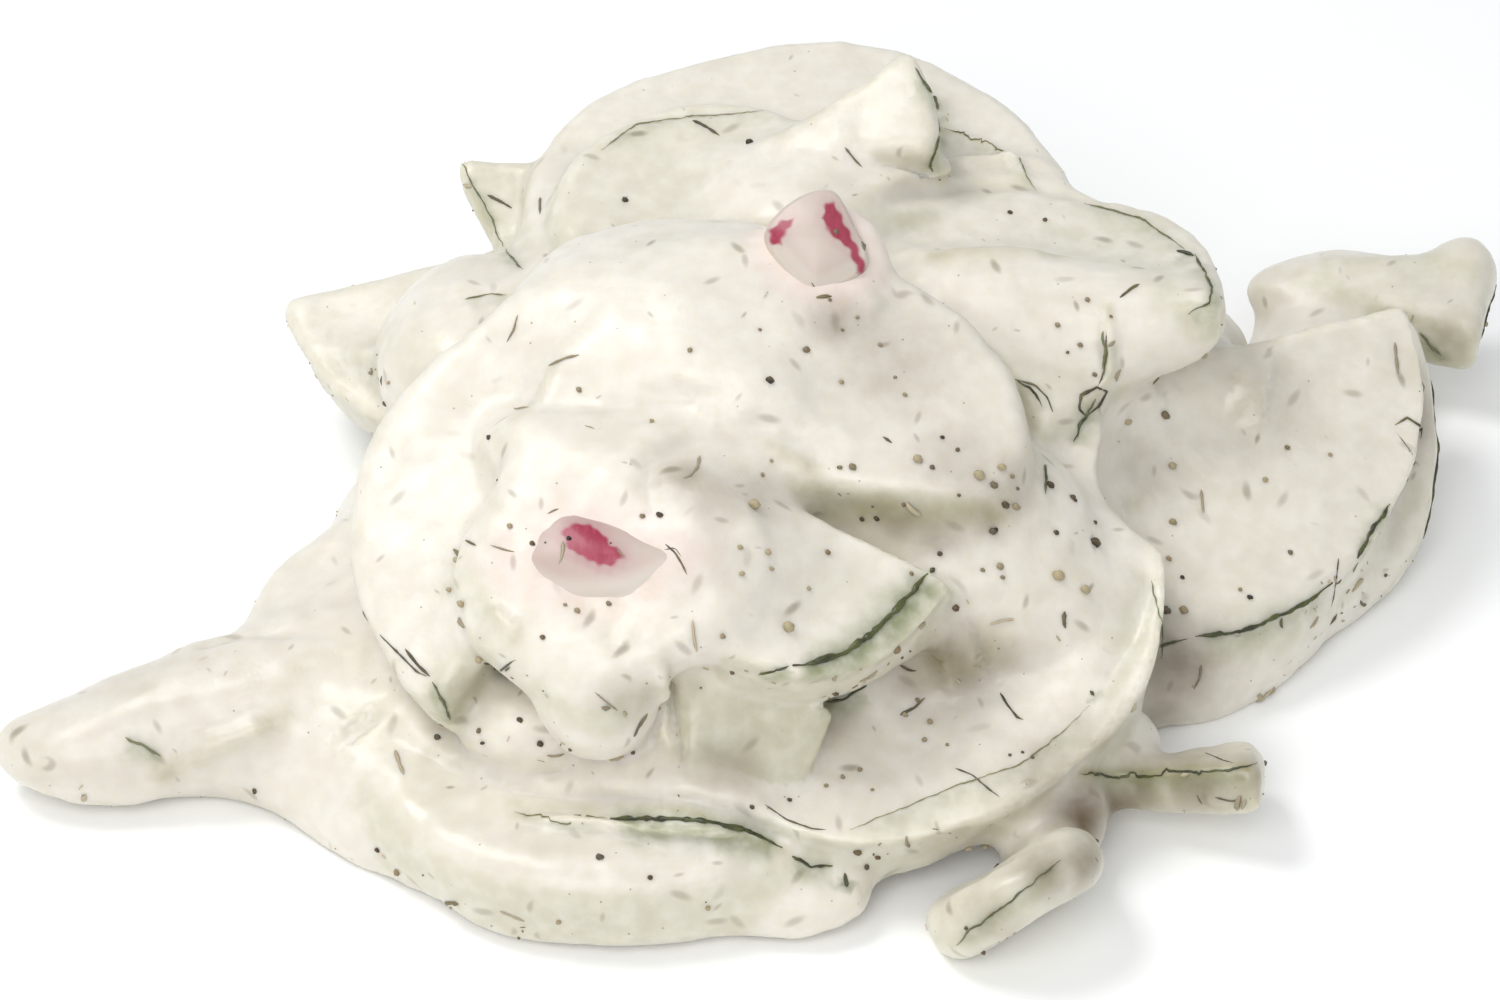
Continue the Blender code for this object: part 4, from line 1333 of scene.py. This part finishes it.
def tubesOf(tree, curves, ragged, sides):
    # curves with their own width, thin at the ends, and ragged where asked
    along = addNode(tree, "GeometryNodeSplineParameter")
    place = addNode(tree, "GeometryNodeInputPosition")
    inputs = {"Vector": place, "Scale": fleckCells["notch"], "Detail": 2.0, "Roughness": 0.5}
    cloud = addNode(tree, "ShaderNodeTexNoise", inputs)
    wide = addNode(tree, "GeometryNodeInputNamedAttribute", {"Name": "width"}).outputs[0]
    for value, low, high, least in (
        (along.outputs["Factor"], 0.0, 0.12, 0.3),
        (along.outputs["Factor"], 1.0, 0.8, 0.3),
        (cloud.outputs[0], 0.35, 0.65, ragged),
    ):
        inputs = {"Value": value, "From Min": low, "From Max": high, "To Min": least}
        share = addNode(tree, "ShaderNodeMapRange", inputs, **softly)
        wide = addNode(tree, "ShaderNodeMath", {0: wide, 1: share}, operation="MULTIPLY").outputs[0]
    ring = addNode(tree, "GeometryNodeCurvePrimitiveCircle", {"Resolution": sides, "Radius": 0.5})
    inputs = {"Curve": curves, "Profile Curve": ring, "Scale": wide, "Fill Caps": True}
    tubes = addNode(tree, "GeometryNodeCurveToMesh", inputs)
    return addNode(tree, "GeometryNodeSetShadeSmooth", {0: tubes}).outputs[0]


def finishTree(tree, sink, geometry, material):
    realized = addNode(tree, "GeometryNodeRealizeInstances", {0: geometry})
    dressed = addNode(tree, "GeometryNodeSetMaterial", {"Geometry": realized, "Material": material})
    tree.links.new(dressed.outputs[0], sink.inputs[0])


skinLook = {
    "Step": 0.2 * mm,
    "Sink": -0.07 * mm,  # how deep a sliver lies in the surface
    "Ragged": 0.45,
    "Wander": 0.14 * mm,  # how far it strays from its line
}


def skinTree():
    inputs = {
        "Surface": "Collection",
        "Step": "Float",
        "Sink": "Float",
        "Ragged": "Float",
        "Wander": "Float",
        "Material": "Material",
    }
    tree, source, sink = newTree("skin slivers", inputs)
    surface = surfaceOf(tree, source.outputs["Surface"])
    curves = addNode(tree, "GeometryNodeMeshToCurve", {0: source.outputs["Geometry"]})
    inputs = {"Curve": curves, "Length": source.outputs["Step"]}
    even = addNode(tree, "GeometryNodeResampleCurve", inputs, mode="LENGTH")
    place = addNode(tree, "GeometryNodeInputPosition")
    inputs = {"Vector": place, "Scale": fleckCells["bend"], "Detail": 2.0}
    cloud = addNode(tree, "ShaderNodeTexNoise", inputs)
    inputs = {0: cloud.outputs["Color"], 1: (0.5, 0.5, 0.5)}
    drift = addNode(tree, "ShaderNodeVectorMath", inputs, operation="SUBTRACT")
    reach = addNode(tree, "ShaderNodeMath", {0: source.outputs["Wander"], 1: 4.0}, operation="MULTIPLY")
    inputs = {0: drift, "Scale": reach}
    drift = addNode(tree, "ShaderNodeVectorMath", inputs, operation="SCALE")
    moved = addNode(tree, "GeometryNodeSetPosition", {"Geometry": even, "Offset": drift})
    laid = layOn(tree, surface, moved.outputs[0], source.outputs["Sink"])
    finishTree(tree, sink, tubesOf(tree, laid, source.outputs["Ragged"], 6), source.outputs["Material"])
    return tree


dillLook = {
    "Density": 40000.0,  # threads in a square metre, about one in each 25 square mm
    "Seed": 7,
    "Step": 0.3 * mm,
    "Lift": 0.03 * mm,
    "Ragged": 0.55,
}

# loose threads of dill that the scatter draws on, lying flat, in mm
dillShapes = (
    ((-0.8, 0.0), (-0.3, 0.08), (0.3, 0.05), (0.8, -0.1)),
    ((-1.1, -0.1), (-0.4, 0.1), (0.4, 0.12), (1.2, -0.1)),
    ((-0.55, 0.0), (0.0, 0.05), (0.55, -0.03)),
    ((-0.6, -0.2), (-0.2, 0.05), (0.2, 0.1), (0.5, -0.05)),
    ((-0.35, 0.0), (0.0, 0.02), (0.35, 0.0)),
    ((-0.2, 0.0), (0.2, 0.03)),
    ((-0.25, 0.05), (0.0, -0.05), (0.25, 0.05)),
    ((-0.4, 0.05), (0.0, -0.03), (0.4, 0.0)),
)


def dillTree():
    inputs = {"Surface": "Collection", "Shapes": "Collection", "Density": "Float", "Seed": "Int"}
    inputs.update({"Step": "Float", "Lift": "Float", "Ragged": "Float", "Material": "Material"})
    tree, source, sink = newTree("dill on the dressing", inputs)
    surface = surfaceOf(tree, source.outputs["Surface"])
    seed = source.outputs["Seed"]
    spots = scatterOn(tree, surface, source.outputs["Density"], seed)
    heading = addNode(tree, "FunctionNodeRandomValue", {2: 0.0, 3: 6.283, "Seed": seed})
    inputs = {"Axis": (0.0, 0.0, 1.0), "Angle": heading.outputs[1]}
    spin = addNode(tree, "FunctionNodeAxisAngleToRotation", inputs)
    inputs = {0: spots.outputs["Rotation"], 1: spin}
    turned = addNode(tree, "FunctionNodeRotateRotation", inputs, rotation_space="LOCAL")
    inputs = {"Collection": source.outputs["Shapes"], "Separate Children": True, "Reset Children": True}
    kinds = addNode(tree, "GeometryNodeCollectionInfo", inputs)
    drawn = addNode(tree, "FunctionNodeRandomValue", {2: 0.0, 3: 1.0, "Seed": seed})
    fewer = addNode(tree, "ShaderNodeMath", {0: drawn.outputs[1], 1: 1.5}, operation="POWER")
    sized = addNode(tree, "ShaderNodeMapRange", {"Value": fewer, "To Min": 0.3, "To Max": 1.1})
    inputs = {4: 0, 5: len(dillShapes) - 1, "Seed": seed}
    picked = addNode(tree, "FunctionNodeRandomValue", inputs, data_type="INT")
    inputs = {"Points": spots, "Instance": kinds, "Pick Instance": True}
    inputs.update({"Instance Index": picked.outputs[2], "Rotation": turned, "Scale": sized})
    threads = addNode(tree, "GeometryNodeInstanceOnPoints", inputs).outputs[0]
    for name, low, high, salt in (("width", 0.28 * mm, 0.58 * mm, 31), ("veil", 0.0, 1.0, 57)):
        drawn = addNode(tree, "FunctionNodeRandomValue", {2: low, 3: high, "Seed": salt})
        inputs = {"Geometry": threads, "Name": name, "Value": drawn.outputs[1]}
        threads = addNode(tree, "GeometryNodeStoreNamedAttribute", inputs, domain="INSTANCE").outputs[0]
    real = addNode(tree, "GeometryNodeRealizeInstances", {0: threads})
    both = addNode(tree, "GeometryNodeJoinGeometry")
    for part in (real.outputs[0], source.outputs["Geometry"]):
        tree.links.new(part, both.inputs[0])
    curves = addNode(tree, "GeometryNodeMeshToCurve", {0: both})
    inputs = {"Curve": curves, "Length": source.outputs["Step"]}
    even = addNode(tree, "GeometryNodeResampleCurve", inputs, mode="LENGTH")
    # the more a thread is veiled, the deeper it lies in the coat
    veil = addNode(tree, "GeometryNodeInputNamedAttribute", {"Name": "veil"})
    width = addNode(tree, "GeometryNodeInputNamedAttribute", {"Name": "width"})
    sunk = addNode(tree, "ShaderNodeMath", {0: veil, 1: width}, operation="MULTIPLY")
    inputs = {0: sunk, 1: -0.3, 2: source.outputs["Lift"]}
    lift = addNode(tree, "ShaderNodeMath", inputs, operation="MULTIPLY_ADD")
    laid = layOn(tree, surface, even.outputs[0], lift.outputs[0])
    finishTree(tree, sink, tubesOf(tree, laid, source.outputs["Ragged"], 5), source.outputs["Material"])
    return tree


pepperLook = {"Density": 26000.0, "Seed": 3, "Small": 0.07 * mm, "Large": 0.3 * mm, "Rough": 0.25}


def pepperTree():
    inputs = {
        "Surface": "Collection",
        "Density": "Float",
        "Seed": "Int",
        "Small": "Float",
        "Large": "Float",
        "Rough": "Float",
        "Material": "Material",
    }
    tree, source, sink = newTree("ground pepper", inputs)
    surface = surfaceOf(tree, source.outputs["Surface"])
    spots = scatterOn(tree, surface, source.outputs["Density"], source.outputs["Seed"]).outputs[0]
    drawn = addNode(tree, "FunctionNodeRandomValue", {2: 0.0, 3: 1.0, "Seed": 11})
    fewer = addNode(tree, "ShaderNodeMath", {0: drawn.outputs[1], 1: 2.5}, operation="POWER")
    inputs = {"Value": fewer, "To Min": source.outputs["Small"], "To Max": source.outputs["Large"]}
    size = addNode(tree, "ShaderNodeMapRange", inputs)
    veil = addNode(tree, "FunctionNodeRandomValue", {2: 0.0, 3: 1.0, "Seed": 23})
    for name, value in (("width", size.outputs[0]), ("veil", veil.outputs[1])):
        inputs = {"Geometry": spots, "Name": name, "Value": value}
        spots = addNode(tree, "GeometryNodeStoreNamedAttribute", inputs).outputs[0]
    placed = addNode(tree, "GeometryNodeMeshToPoints", {0: source.outputs["Geometry"]})
    both = addNode(tree, "GeometryNodeJoinGeometry")
    for part in (spots, placed.outputs[0]):
        tree.links.new(part, both.inputs[0])
    # a veiled crumb lies deeper in the coat
    width = addNode(tree, "GeometryNodeInputNamedAttribute", {"Name": "width"}).outputs[0]
    cover = addNode(tree, "GeometryNodeInputNamedAttribute", {"Name": "veil"})
    sunk = addNode(tree, "ShaderNodeMath", {0: cover, 1: width}, operation="MULTIPLY")
    lift = addNode(tree, "ShaderNodeMath", {0: sunk, 1: -0.65}, operation="MULTIPLY")
    laid = layOn(tree, surface, both.outputs[0], lift.outputs[0])
    crumb = addNode(tree, "GeometryNodeMeshIcoSphere", {"Radius": 1.0, "Subdivisions": 2})
    inputs = {0: (0.0, 0.0, 0.0), 1: (6.28, 6.28, 6.28), "Seed": 5}
    turn = addNode(tree, "FunctionNodeRandomValue", inputs, data_type="FLOAT_VECTOR")
    inputs = {0: (0.6, 0.6, 0.6), 1: (1.25, 1.25, 1.25), "Seed": 9}
    uneven = addNode(tree, "FunctionNodeRandomValue", inputs, data_type="FLOAT_VECTOR")
    sized = addNode(tree, "ShaderNodeVectorMath", {0: uneven, "Scale": width}, operation="SCALE")
    inputs = {"Points": laid, "Instance": crumb, "Rotation": turn, "Scale": sized}
    crumbs = addNode(tree, "GeometryNodeInstanceOnPoints", inputs)
    real = addNode(tree, "GeometryNodeRealizeInstances", {0: crumbs})
    place = addNode(tree, "GeometryNodeInputPosition")
    inputs = {"Vector": place, "Scale": fleckCells["chip"], "Detail": 1.0}
    cloud = addNode(tree, "ShaderNodeTexNoise", inputs)
    push = addNode(tree, "ShaderNodeMath", {0: cloud, 1: 0.5}, operation="SUBTRACT").outputs[0]
    for share in (source.outputs["Rough"], width, 4.0):
        push = addNode(tree, "ShaderNodeMath", {0: push, 1: share}, operation="MULTIPLY").outputs[0]
    facing = addNode(tree, "GeometryNodeInputNormal")
    chip = addNode(tree, "ShaderNodeVectorMath", {0: facing, "Scale": push}, operation="SCALE")
    chipped = addNode(tree, "GeometryNodeSetPosition", {"Geometry": real, "Offset": chip})
    smooth = addNode(tree, "GeometryNodeSetShadeSmooth", {0: chipped})
    finishTree(tree, sink, smooth.outputs[0], source.outputs["Material"])
    return tree


# roughness, colours of the bare stuff and under the dressing, and mm between dark and light
fleckLook = {
    "chopped dill": (0.45, "#3C3520", "#6C6340", "#BEB296", 3.0),
    "ground black pepper": (0.5, "#261E15", "#6A5738", "#B3A685", 2.0),
    "cucumber skin": (0.3, "#2E3018", "#505628", "#8F9068", 1.4),
}


def fleckMaterial(name):
    # small wet flecks; veil on each says how far the dressing covers it
    rough, dark, light, veiled, size = fleckLook[name]
    made, tree = newMaterial(name)
    place = addNode(tree, "ShaderNodeTexCoord")
    inputs = {"Vector": place.outputs["Object"], "Scale": 1000.0 / size}
    cloud = addNode(tree, "ShaderNodeTexNoise", inputs)
    inputs = {"Value": cloud, "From Min": 0.35, "From Max": 0.65}
    share = addNode(tree, "ShaderNodeMapRange", inputs, **softly)
    inputs = {"Factor": share, 6: hexColour(dark), 7: hexColour(light)}
    bare = addNode(tree, "ShaderNodeMix", inputs, data_type="RGBA")
    veil = addNode(tree, "ShaderNodeAttribute", attribute_name="veil")
    inputs = {"Value": veil.outputs["Fac"], "From Min": 0.05, "From Max": 0.9, "To Max": 0.85}
    cover = addNode(tree, "ShaderNodeMapRange", inputs, **softly)
    inputs = {"Factor": cover, 6: bare.outputs[2], 7: hexColour(veiled)}
    colour = addNode(tree, "ShaderNodeMix", inputs, data_type="RGBA")
    inputs = {"Base Color": colour.outputs[2], "Roughness": rough}
    inputs.update({"Subsurface Weight": 0.3, "Subsurface Scale": 0.2 * mm})
    shader = addNode(tree, "ShaderNodeBsdfPrincipled", inputs)
    addNode(tree, "ShaderNodeOutputMaterial", {"Surface": shader.outputs["BSDF"]})
    return made


# chopped dill, wilted in the dressing: dull grey-green, fresher where it is thick
dillStuff = fleckMaterial("chopped dill")
# ground black pepper: brown-black crumbs, some pale from inside the corn
pepperStuff = fleckMaterial("ground black pepper")
# cucumber skin seen through a gap in the coat: wet dark olive green
skinStuff = fleckMaterial("cucumber skin")

# threads that lie singly: width in mm, veil, then corners in mm on the camera's plane
dillRows = (
    (0.3, 0.1, ((-22.8, -3.2), (-22.2, -3.5), (-21.6, -3.8))),
    (0.2, 0.35, ((-20.8, -3.6), (-19.6, -4.0), (-18.6, -4.2))),
    (0.3, 0.2, ((-20.0, -4.9), (-19.6, -4.6))),
    (0.26, 0.4, ((-16.2, -1.1), (-15.6, -0.8), (-15.0, -0.6))),
    (0.22, 0.1, ((-9.0, -4.6), (-8.2, -4.9), (-7.0, -5.0))),
    (0.2, 0.2, ((-6.8, -3.5), (-6.0, -4.2), (-5.4, -5.2), (-4.9, -6.3))),
    (0.14, 0.3, ((-6.9, -4.0), (-6.0, -3.8), (-5.3, -4.8))),
    (0.34, 0.85, ((-4.6, -9.6), (-4.5, -11.0), (-4.2, -12.4))),
    (0.3, 0.55, ((-4.0, 3.6), (-4.2, 2.6), (-4.8, 1.9), (-5.6, 1.7))),
    (0.24, 0.1, ((-20.0, -13.7), (-19.0, -12.9), (-18.4, -12.7))),
    (0.2, 0.2, ((-19.6, -13.7), (-19.0, -13.2))),
    (0.22, 0.05, ((1.1, -24.3), (3.0, -25.6), (5.0, -26.3), (6.6, -26.4))),
    (0.24, 0.1, ((20.0, -15.4), (20.6, -16.4), (21.4, -17.4), (22.2, -17.7))),
    (0.3, 0.75, ((19.2, -9.9), (20.2, -9.6), (21.4, -9.5))),
    (0.18, 0.05, ((16.3, -21.4), (17.8, -22.0), (19.2, -23.2), (20.6, -24.2))),
    (0.3, 0.2, ((-21.0, 24.4), (-19.8, 23.8), (-18.8, 23.2))),
    (0.26, 0.3, ((-16.8, 24.2), (-16.8, 22.6))),
    (0.24, 0.4, ((-18.6, 14.8), (-18.9, 13.6), (-19.6, 12.4))),
    (0.28, 0.45, ((-16.2, 10.8), (-14.8, 11.4), (-13.4, 11.7))),
    (0.26, 0.5, ((-19.2, 8.1), (-18.0, 8.5))),
    (0.22, 0.55, ((-13.2, 6.4), (-12.2, 5.9))),
    (0.3, 0.15, ((-4.6, 30.5), (-3.4, 29.8), (-2.2, 29.0))),
    (0.22, 0.25, ((7.6, 28.2), (8.4, 27.2), (9.2, 26.4))),
    (0.3, 0.1, ((10.6, 5.1), (11.6, 4.4))),
    (0.42, 0.1, ((29.6, 16.2), (30.6, 17.0), (31.4, 17.4))),
    (0.34, 0.6, ((36.1, 0.8), (36.2, -0.2), (36.3, -1.3))),
    (0.28, 0.65, ((-20.0, -32.9), (-18.8, -33.4), (-17.8, -33.8))),
    (0.34, 0.7, ((-28.4, -20.0), (-28.0, -21.2), (-27.6, -22.2))),
    (0.26, 0.2, ((-29.6, -10.8), (-27.8, -12.6), (-26.6, -13.8), (-25.6, -14.2))),
    (0.28, 0.05, ((-27.6, -11.9), (-26.6, -13.2), (-25.4, -14.3))),
    (0.22, 0.05, ((47.1, -4.6), (46.9, -6.4), (46.7, -7.8), (46.4, -8.9))),
    (0.28, 0.1, ((51.6, 6.0), (52.6, 6.6), (53.8, 5.8), (53.6, 4.6))),
    (0.14, 0.15, ((51.4, 5.8), (52.8, 4.0), (53.8, 2.2), (54.2, 3.2))),
    (0.3, 0.5, ((51.6, 12.6), (51.7, 11.4), (51.9, 9.8))),
    (0.26, 0.05, ((32.8, -11.8), (34.2, -11.3), (35.4, -11.0))),
    (0.24, 0.1, ((37.2, -23.8), (38.4, -24.1), (39.4, -24.0))),
    (
        0.36, 0.1,
        ((27.0, 6.6), (26.3, 7.3), (26.5, 8.4), (27.8, 9.0), (28.5, 8.7), (27.9, 7.5), (26.8, 6.6)),
    ),
    (0.2, 0.1, ((28.6, 13.4), (28.7, 11.4), (28.2, 9.6), (27.6, 8.6))),
    (0.24, 0.15, ((21.4, 9.6), (22.8, 9.2), (23.8, 8.2), (24.4, 6.6))),
    (0.5, 0.05, ((5.3, 16.2), (6.0, 16.3), (6.8, 16.3))),
    (0.28, 0.35, ((36.1, -13.2), (36.0, -14.2), (35.4, -15.4))),
    (0.2, 0.5, ((-12.4, -15.4), (-11.2, -16.4), (-10.4, -17.0))),
    (0.3, 0.45, ((-17.0, -20.8), (-16.2, -21.0))),
    (0.3, 0.2, ((12.0, -17.2), (13.2, -16.6), (14.2, -15.6))),
    (0.34, 0.1, ((12.0, -13.2), (12.8, -13.6), (13.6, -13.6))),
    (0.2, 0.35, ((33.6, -18.4), (34.6, -19.4), (35.4, -19.9))),
    (0.18, 0.25, ((36.4, -20.2), (37.8, -20.8), (39.0, -21.2))),
)

# single crumbs: radius in mm, veil, and the place on the camera's plane
pepperRows = (
    (0.36, 0.0, 0.0, 28.6), (0.36, 0.1, 1.6, 9.6), (0.32, 0.0, 8.6, -28.2),
    (0.24, 0.0, 10.2, -28.6), (0.2, 0.0, 0.2, -24.6), (0.2, 0.1, 3.2, -24.0),
    (0.22, 0.0, -9.4, -20.2), (0.26, 0.1, -18.4, -17.6), (0.28, 0.2, -16.8, -19.5),
    (0.46, 0.0, 27.6, -3.4), (0.26, 0.0, 19.6, -2.4), (0.36, 0.1, 24.0, 1.2),
    (0.34, 0.1, 20.4, -0.4), (0.34, 0.3, -12.0, -28.6), (0.24, 0.1, -8.0, -30.2),
    (0.2, 0.0, 26.0, 0.0), (0.24, 0.0, 20.8, 23.0), (0.2, 0.0, -1.4, -13.8), (0.22, 0.1, 9.0, -1.5),
    (0.3, 0.2, -10.0, 24.0), (0.24, 0.2, -29.8, -28.0), (0.28, 0.3, -25.0, -19.0),
    (0.22, 0.0, 23.6, 22.4), (0.26, 0.1, 40.0, -7.8), (0.2, 0.1, 34.6, -6.2),
    (0.24, 0.4, 43.0, 4.2), (0.3, 0.4, 4.5, 12.0), (0.2, 0.0, 15.4, 5.0), (0.32, 0.5, 8.2, 2.6),
    (0.16, 0.3, 7.1, 2.6), (0.24, 0.3, 14.6, 2.6), (0.4, 0.9, 13.4, 3.2), (0.2, 0.3, 16.6, 4.0),
    (0.48, 0.8, 18.3, 1.9), (0.32, 0.4, 19.5, 1.2), (0.32, 0.8, 20.1, 2.6), (0.2, 0.4, 21.0, 1.9),
    (0.16, 0.2, 21.4, 0.9), (0.16, 0.2, 16.7, 0.4), (0.2, 0.3, 12.3, -0.3), (0.24, 0.1, 10.2, -1.4),
    (0.32, 0.6, 21.2, -0.5), (0.32, 0.3, 19.4, -2.5), (0.28, 0.2, 25.8, 0.2),
    (0.2, 0.1, 27.6, -1.8), (0.24, 0.2, 24.5, -2.6), (0.48, 0.9, 24.6, -6.1),
    (0.4, 0.9, 26.7, -7.2), (0.32, 0.6, 20.0, -5.3), (0.2, 0.5, 18.6, -5.6), (0.2, 0.5, 20.2, -6.2),
    (0.24, 0.2, 15.2, -4.3), (0.32, 0.1, 16.4, -8.6), (0.4, 0.3, 33.2, 6.8), (0.32, 0.8, 33.8, 2.7),
    (0.32, 0.6, 33.8, -1.8), (0.24, 0.6, 33.5, -4.7), (0.4, 0.3, 33.3, -8.8),
    (0.4, 0.6, 34.7, -8.8), (0.24, 0.4, 6.2, -4.2), (0.2, 0.4, 12.9, -5.9), (0.48, 0.9, 3.0, -10.2),
    (0.24, 0.6, -14.0, 9.1), (0.24, 0.2, -20.9, 5.0), (0.2, 0.7, -7.9, 7.2), (0.2, 0.6, 7.3, 9.4),
    (0.2, 0.5, 1.0, 2.0), (0.16, 0.6, 1.7, 3.1), (0.2, 0.5, 7.2, 2.6), (0.48, 0.9, 0.2, -0.5),
    (0.28, 0.2, -7.2, -1.2), (0.24, 0.5, -8.6, -1.3), (0.24, 0.8, -19.2, -2.1),
    (0.24, 0.1, -17.4, -3.5), (0.24, 0.8, -0.8, -3.8), (0.28, 0.8, 1.4, -4.2),
    (0.2, 0.7, 1.7, -5.5), (0.24, 0.9, -0.7, -5.9), (0.24, 0.8, -24.0, -7.2),
    (0.32, 0.8, -23.0, -8.3), (0.16, 0.6, -14.8, -8.4), (0.24, 0.6, -13.8, -8.9),
    (0.24, 0.5, -11.3, -8.3), (0.24, 0.3, -16.6, -11.0), (0.24, 0.5, -2.2, -10.9),
    (0.2, 0.7, 4.7, -7.1), (0.24, 0.5, 26.4, 12.4), (0.2, 0.4, 27.6, 10.0), (0.16, 0.3, 25.4, 11.8),
    (0.24, 0.5, 27.0, 16.0), (0.24, 0.6, 24.6, 14.0), (0.16, 0.4, 28.8, 14.6),
    (0.16, 0.4, 6.4, 16.0), (0.16, 0.4, 7.4, 13.6), (0.16, 0.5, 8.6, 14.6), (0.2, 0.6, 10.4, 12.4),
    (0.16, 0.5, 11.6, 9.8), (0.2, 0.6, 12.4, 8.4), (0.16, 0.5, 0.8, 13.6), (0.24, 0.6, -4.8, 12.0),
    (0.2, 0.5, 8.8, -21.6), (0.2, 0.6, 7.4, -22.2), (0.2, 0.5, 6.1, -22.9), (0.16, 0.5, 9.8, -23.2),
    (0.24, 0.7, 12.4, -17.2), (0.24, 0.6, 14.4, -17.8), (0.2, 0.5, 13.4, -16.0),
    (0.24, 0.6, 14.0, -19.2), (0.16, 0.3, 20.8, -20.4), (0.16, 0.3, 21.8, -20.2),
    (0.16, 0.3, 22.6, -20.6), (0.16, 0.5, 15.8, -19.6), (0.24, 0.4, 43.2, -4.2),
    (0.2, 0.6, 39.2, -7.2), (0.2, 0.7, 46.4, 3.6), (0.24, 0.8, 41.2, 1.6),
)


def placedChains(rows):
    chains, widths, veils = [], [], []
    for width, veil, corners in rows:
        path = pathOnHeap(heapTree, corners)
        if len(path) > 1:
            chains.append(path)
            widths.append(width * mm)
            veils.append(veil)
    return chains, (("width", widths), ("veil", veils))


def unbridged(path, reach=1.1):
    # a path that runs along an edge falls partly on what lies behind: each point joins the run
    # that ends close to it, so that no sliver spans open air
    runs = []
    for point in path:
        gaps = [(point - run[-1]).length for run in runs]
        if gaps and min(gaps) < reach * mm:
            runs[gaps.index(min(gaps))].append(point)
        else:
            runs.append([point])
    return [run for run in runs if len(run) > 2]


def buildSkin():
    rows = [(run, sliver[1] * mm, sliver[2]) for sliver in slivers for run in unbridged(sliver[0])]
    chains = [row[0] for row in rows]
    values = (("width", [row[1] for row in rows]), ("veil", [row[2] for row in rows]))
    skin = linkObject("cucumberSkin", chainMesh("cucumberSkin", chains, values))
    runTree(skin, skinTree(), {"Surface": surfaces, "Material": skinStuff, **skinLook})
    return skin


def buildDill():
    shapes = bpy.data.collections.new("dill shapes")
    for k, corners in enumerate(dillShapes):
        chain = [(x * mm, y * mm, 0.0) for x, y in corners]
        shapes.objects.link(bpy.data.objects.new("shape%d" % k, chainMesh("shape%d" % k, [chain])))
    chains, values = placedChains(dillRows)
    dill = linkObject("choppedDill", chainMesh("choppedDill", chains, values))
    runTree(dill, dillTree(), {"Surface": surfaces, "Shapes": shapes, "Material": dillStuff, **dillLook})
    for shape in list(shapes.objects):
        bpy.data.objects.remove(shape)
    bpy.data.collections.remove(shapes)
    return dill


def buildPepper():
    spots = [(fallOnHeap(heapTree, *row[2:]), row) for row in pepperRows]
    spots = [(hit, row) for hit, row in spots if hit]
    values = (("width", [row[0] * mm for hit, row in spots]), ("veil", [row[1] for hit, row in spots]))
    pepper = linkObject("groundPepper", chainMesh("groundPepper", [[hit] for hit, row in spots], values))
    runTree(pepper, pepperTree(), {"Surface": surfaces, "Material": pepperStuff, **pepperLook})
    return pepper


flecks = []
for build in (buildSkin, buildDill, buildPepper):
    fleck = build()
    flecks.append(fleck)
    print(fleck.name + ":", len(fleck.data.polygons), "faces")
bpy.data.collections.remove(surfaces)

for piece in (heap, *flecks):
    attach(piece, "root")
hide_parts("salad_heap")
for piece, row in zip(radishes, radishRows.values()):
    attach(piece, "root")
    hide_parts(row["node"])
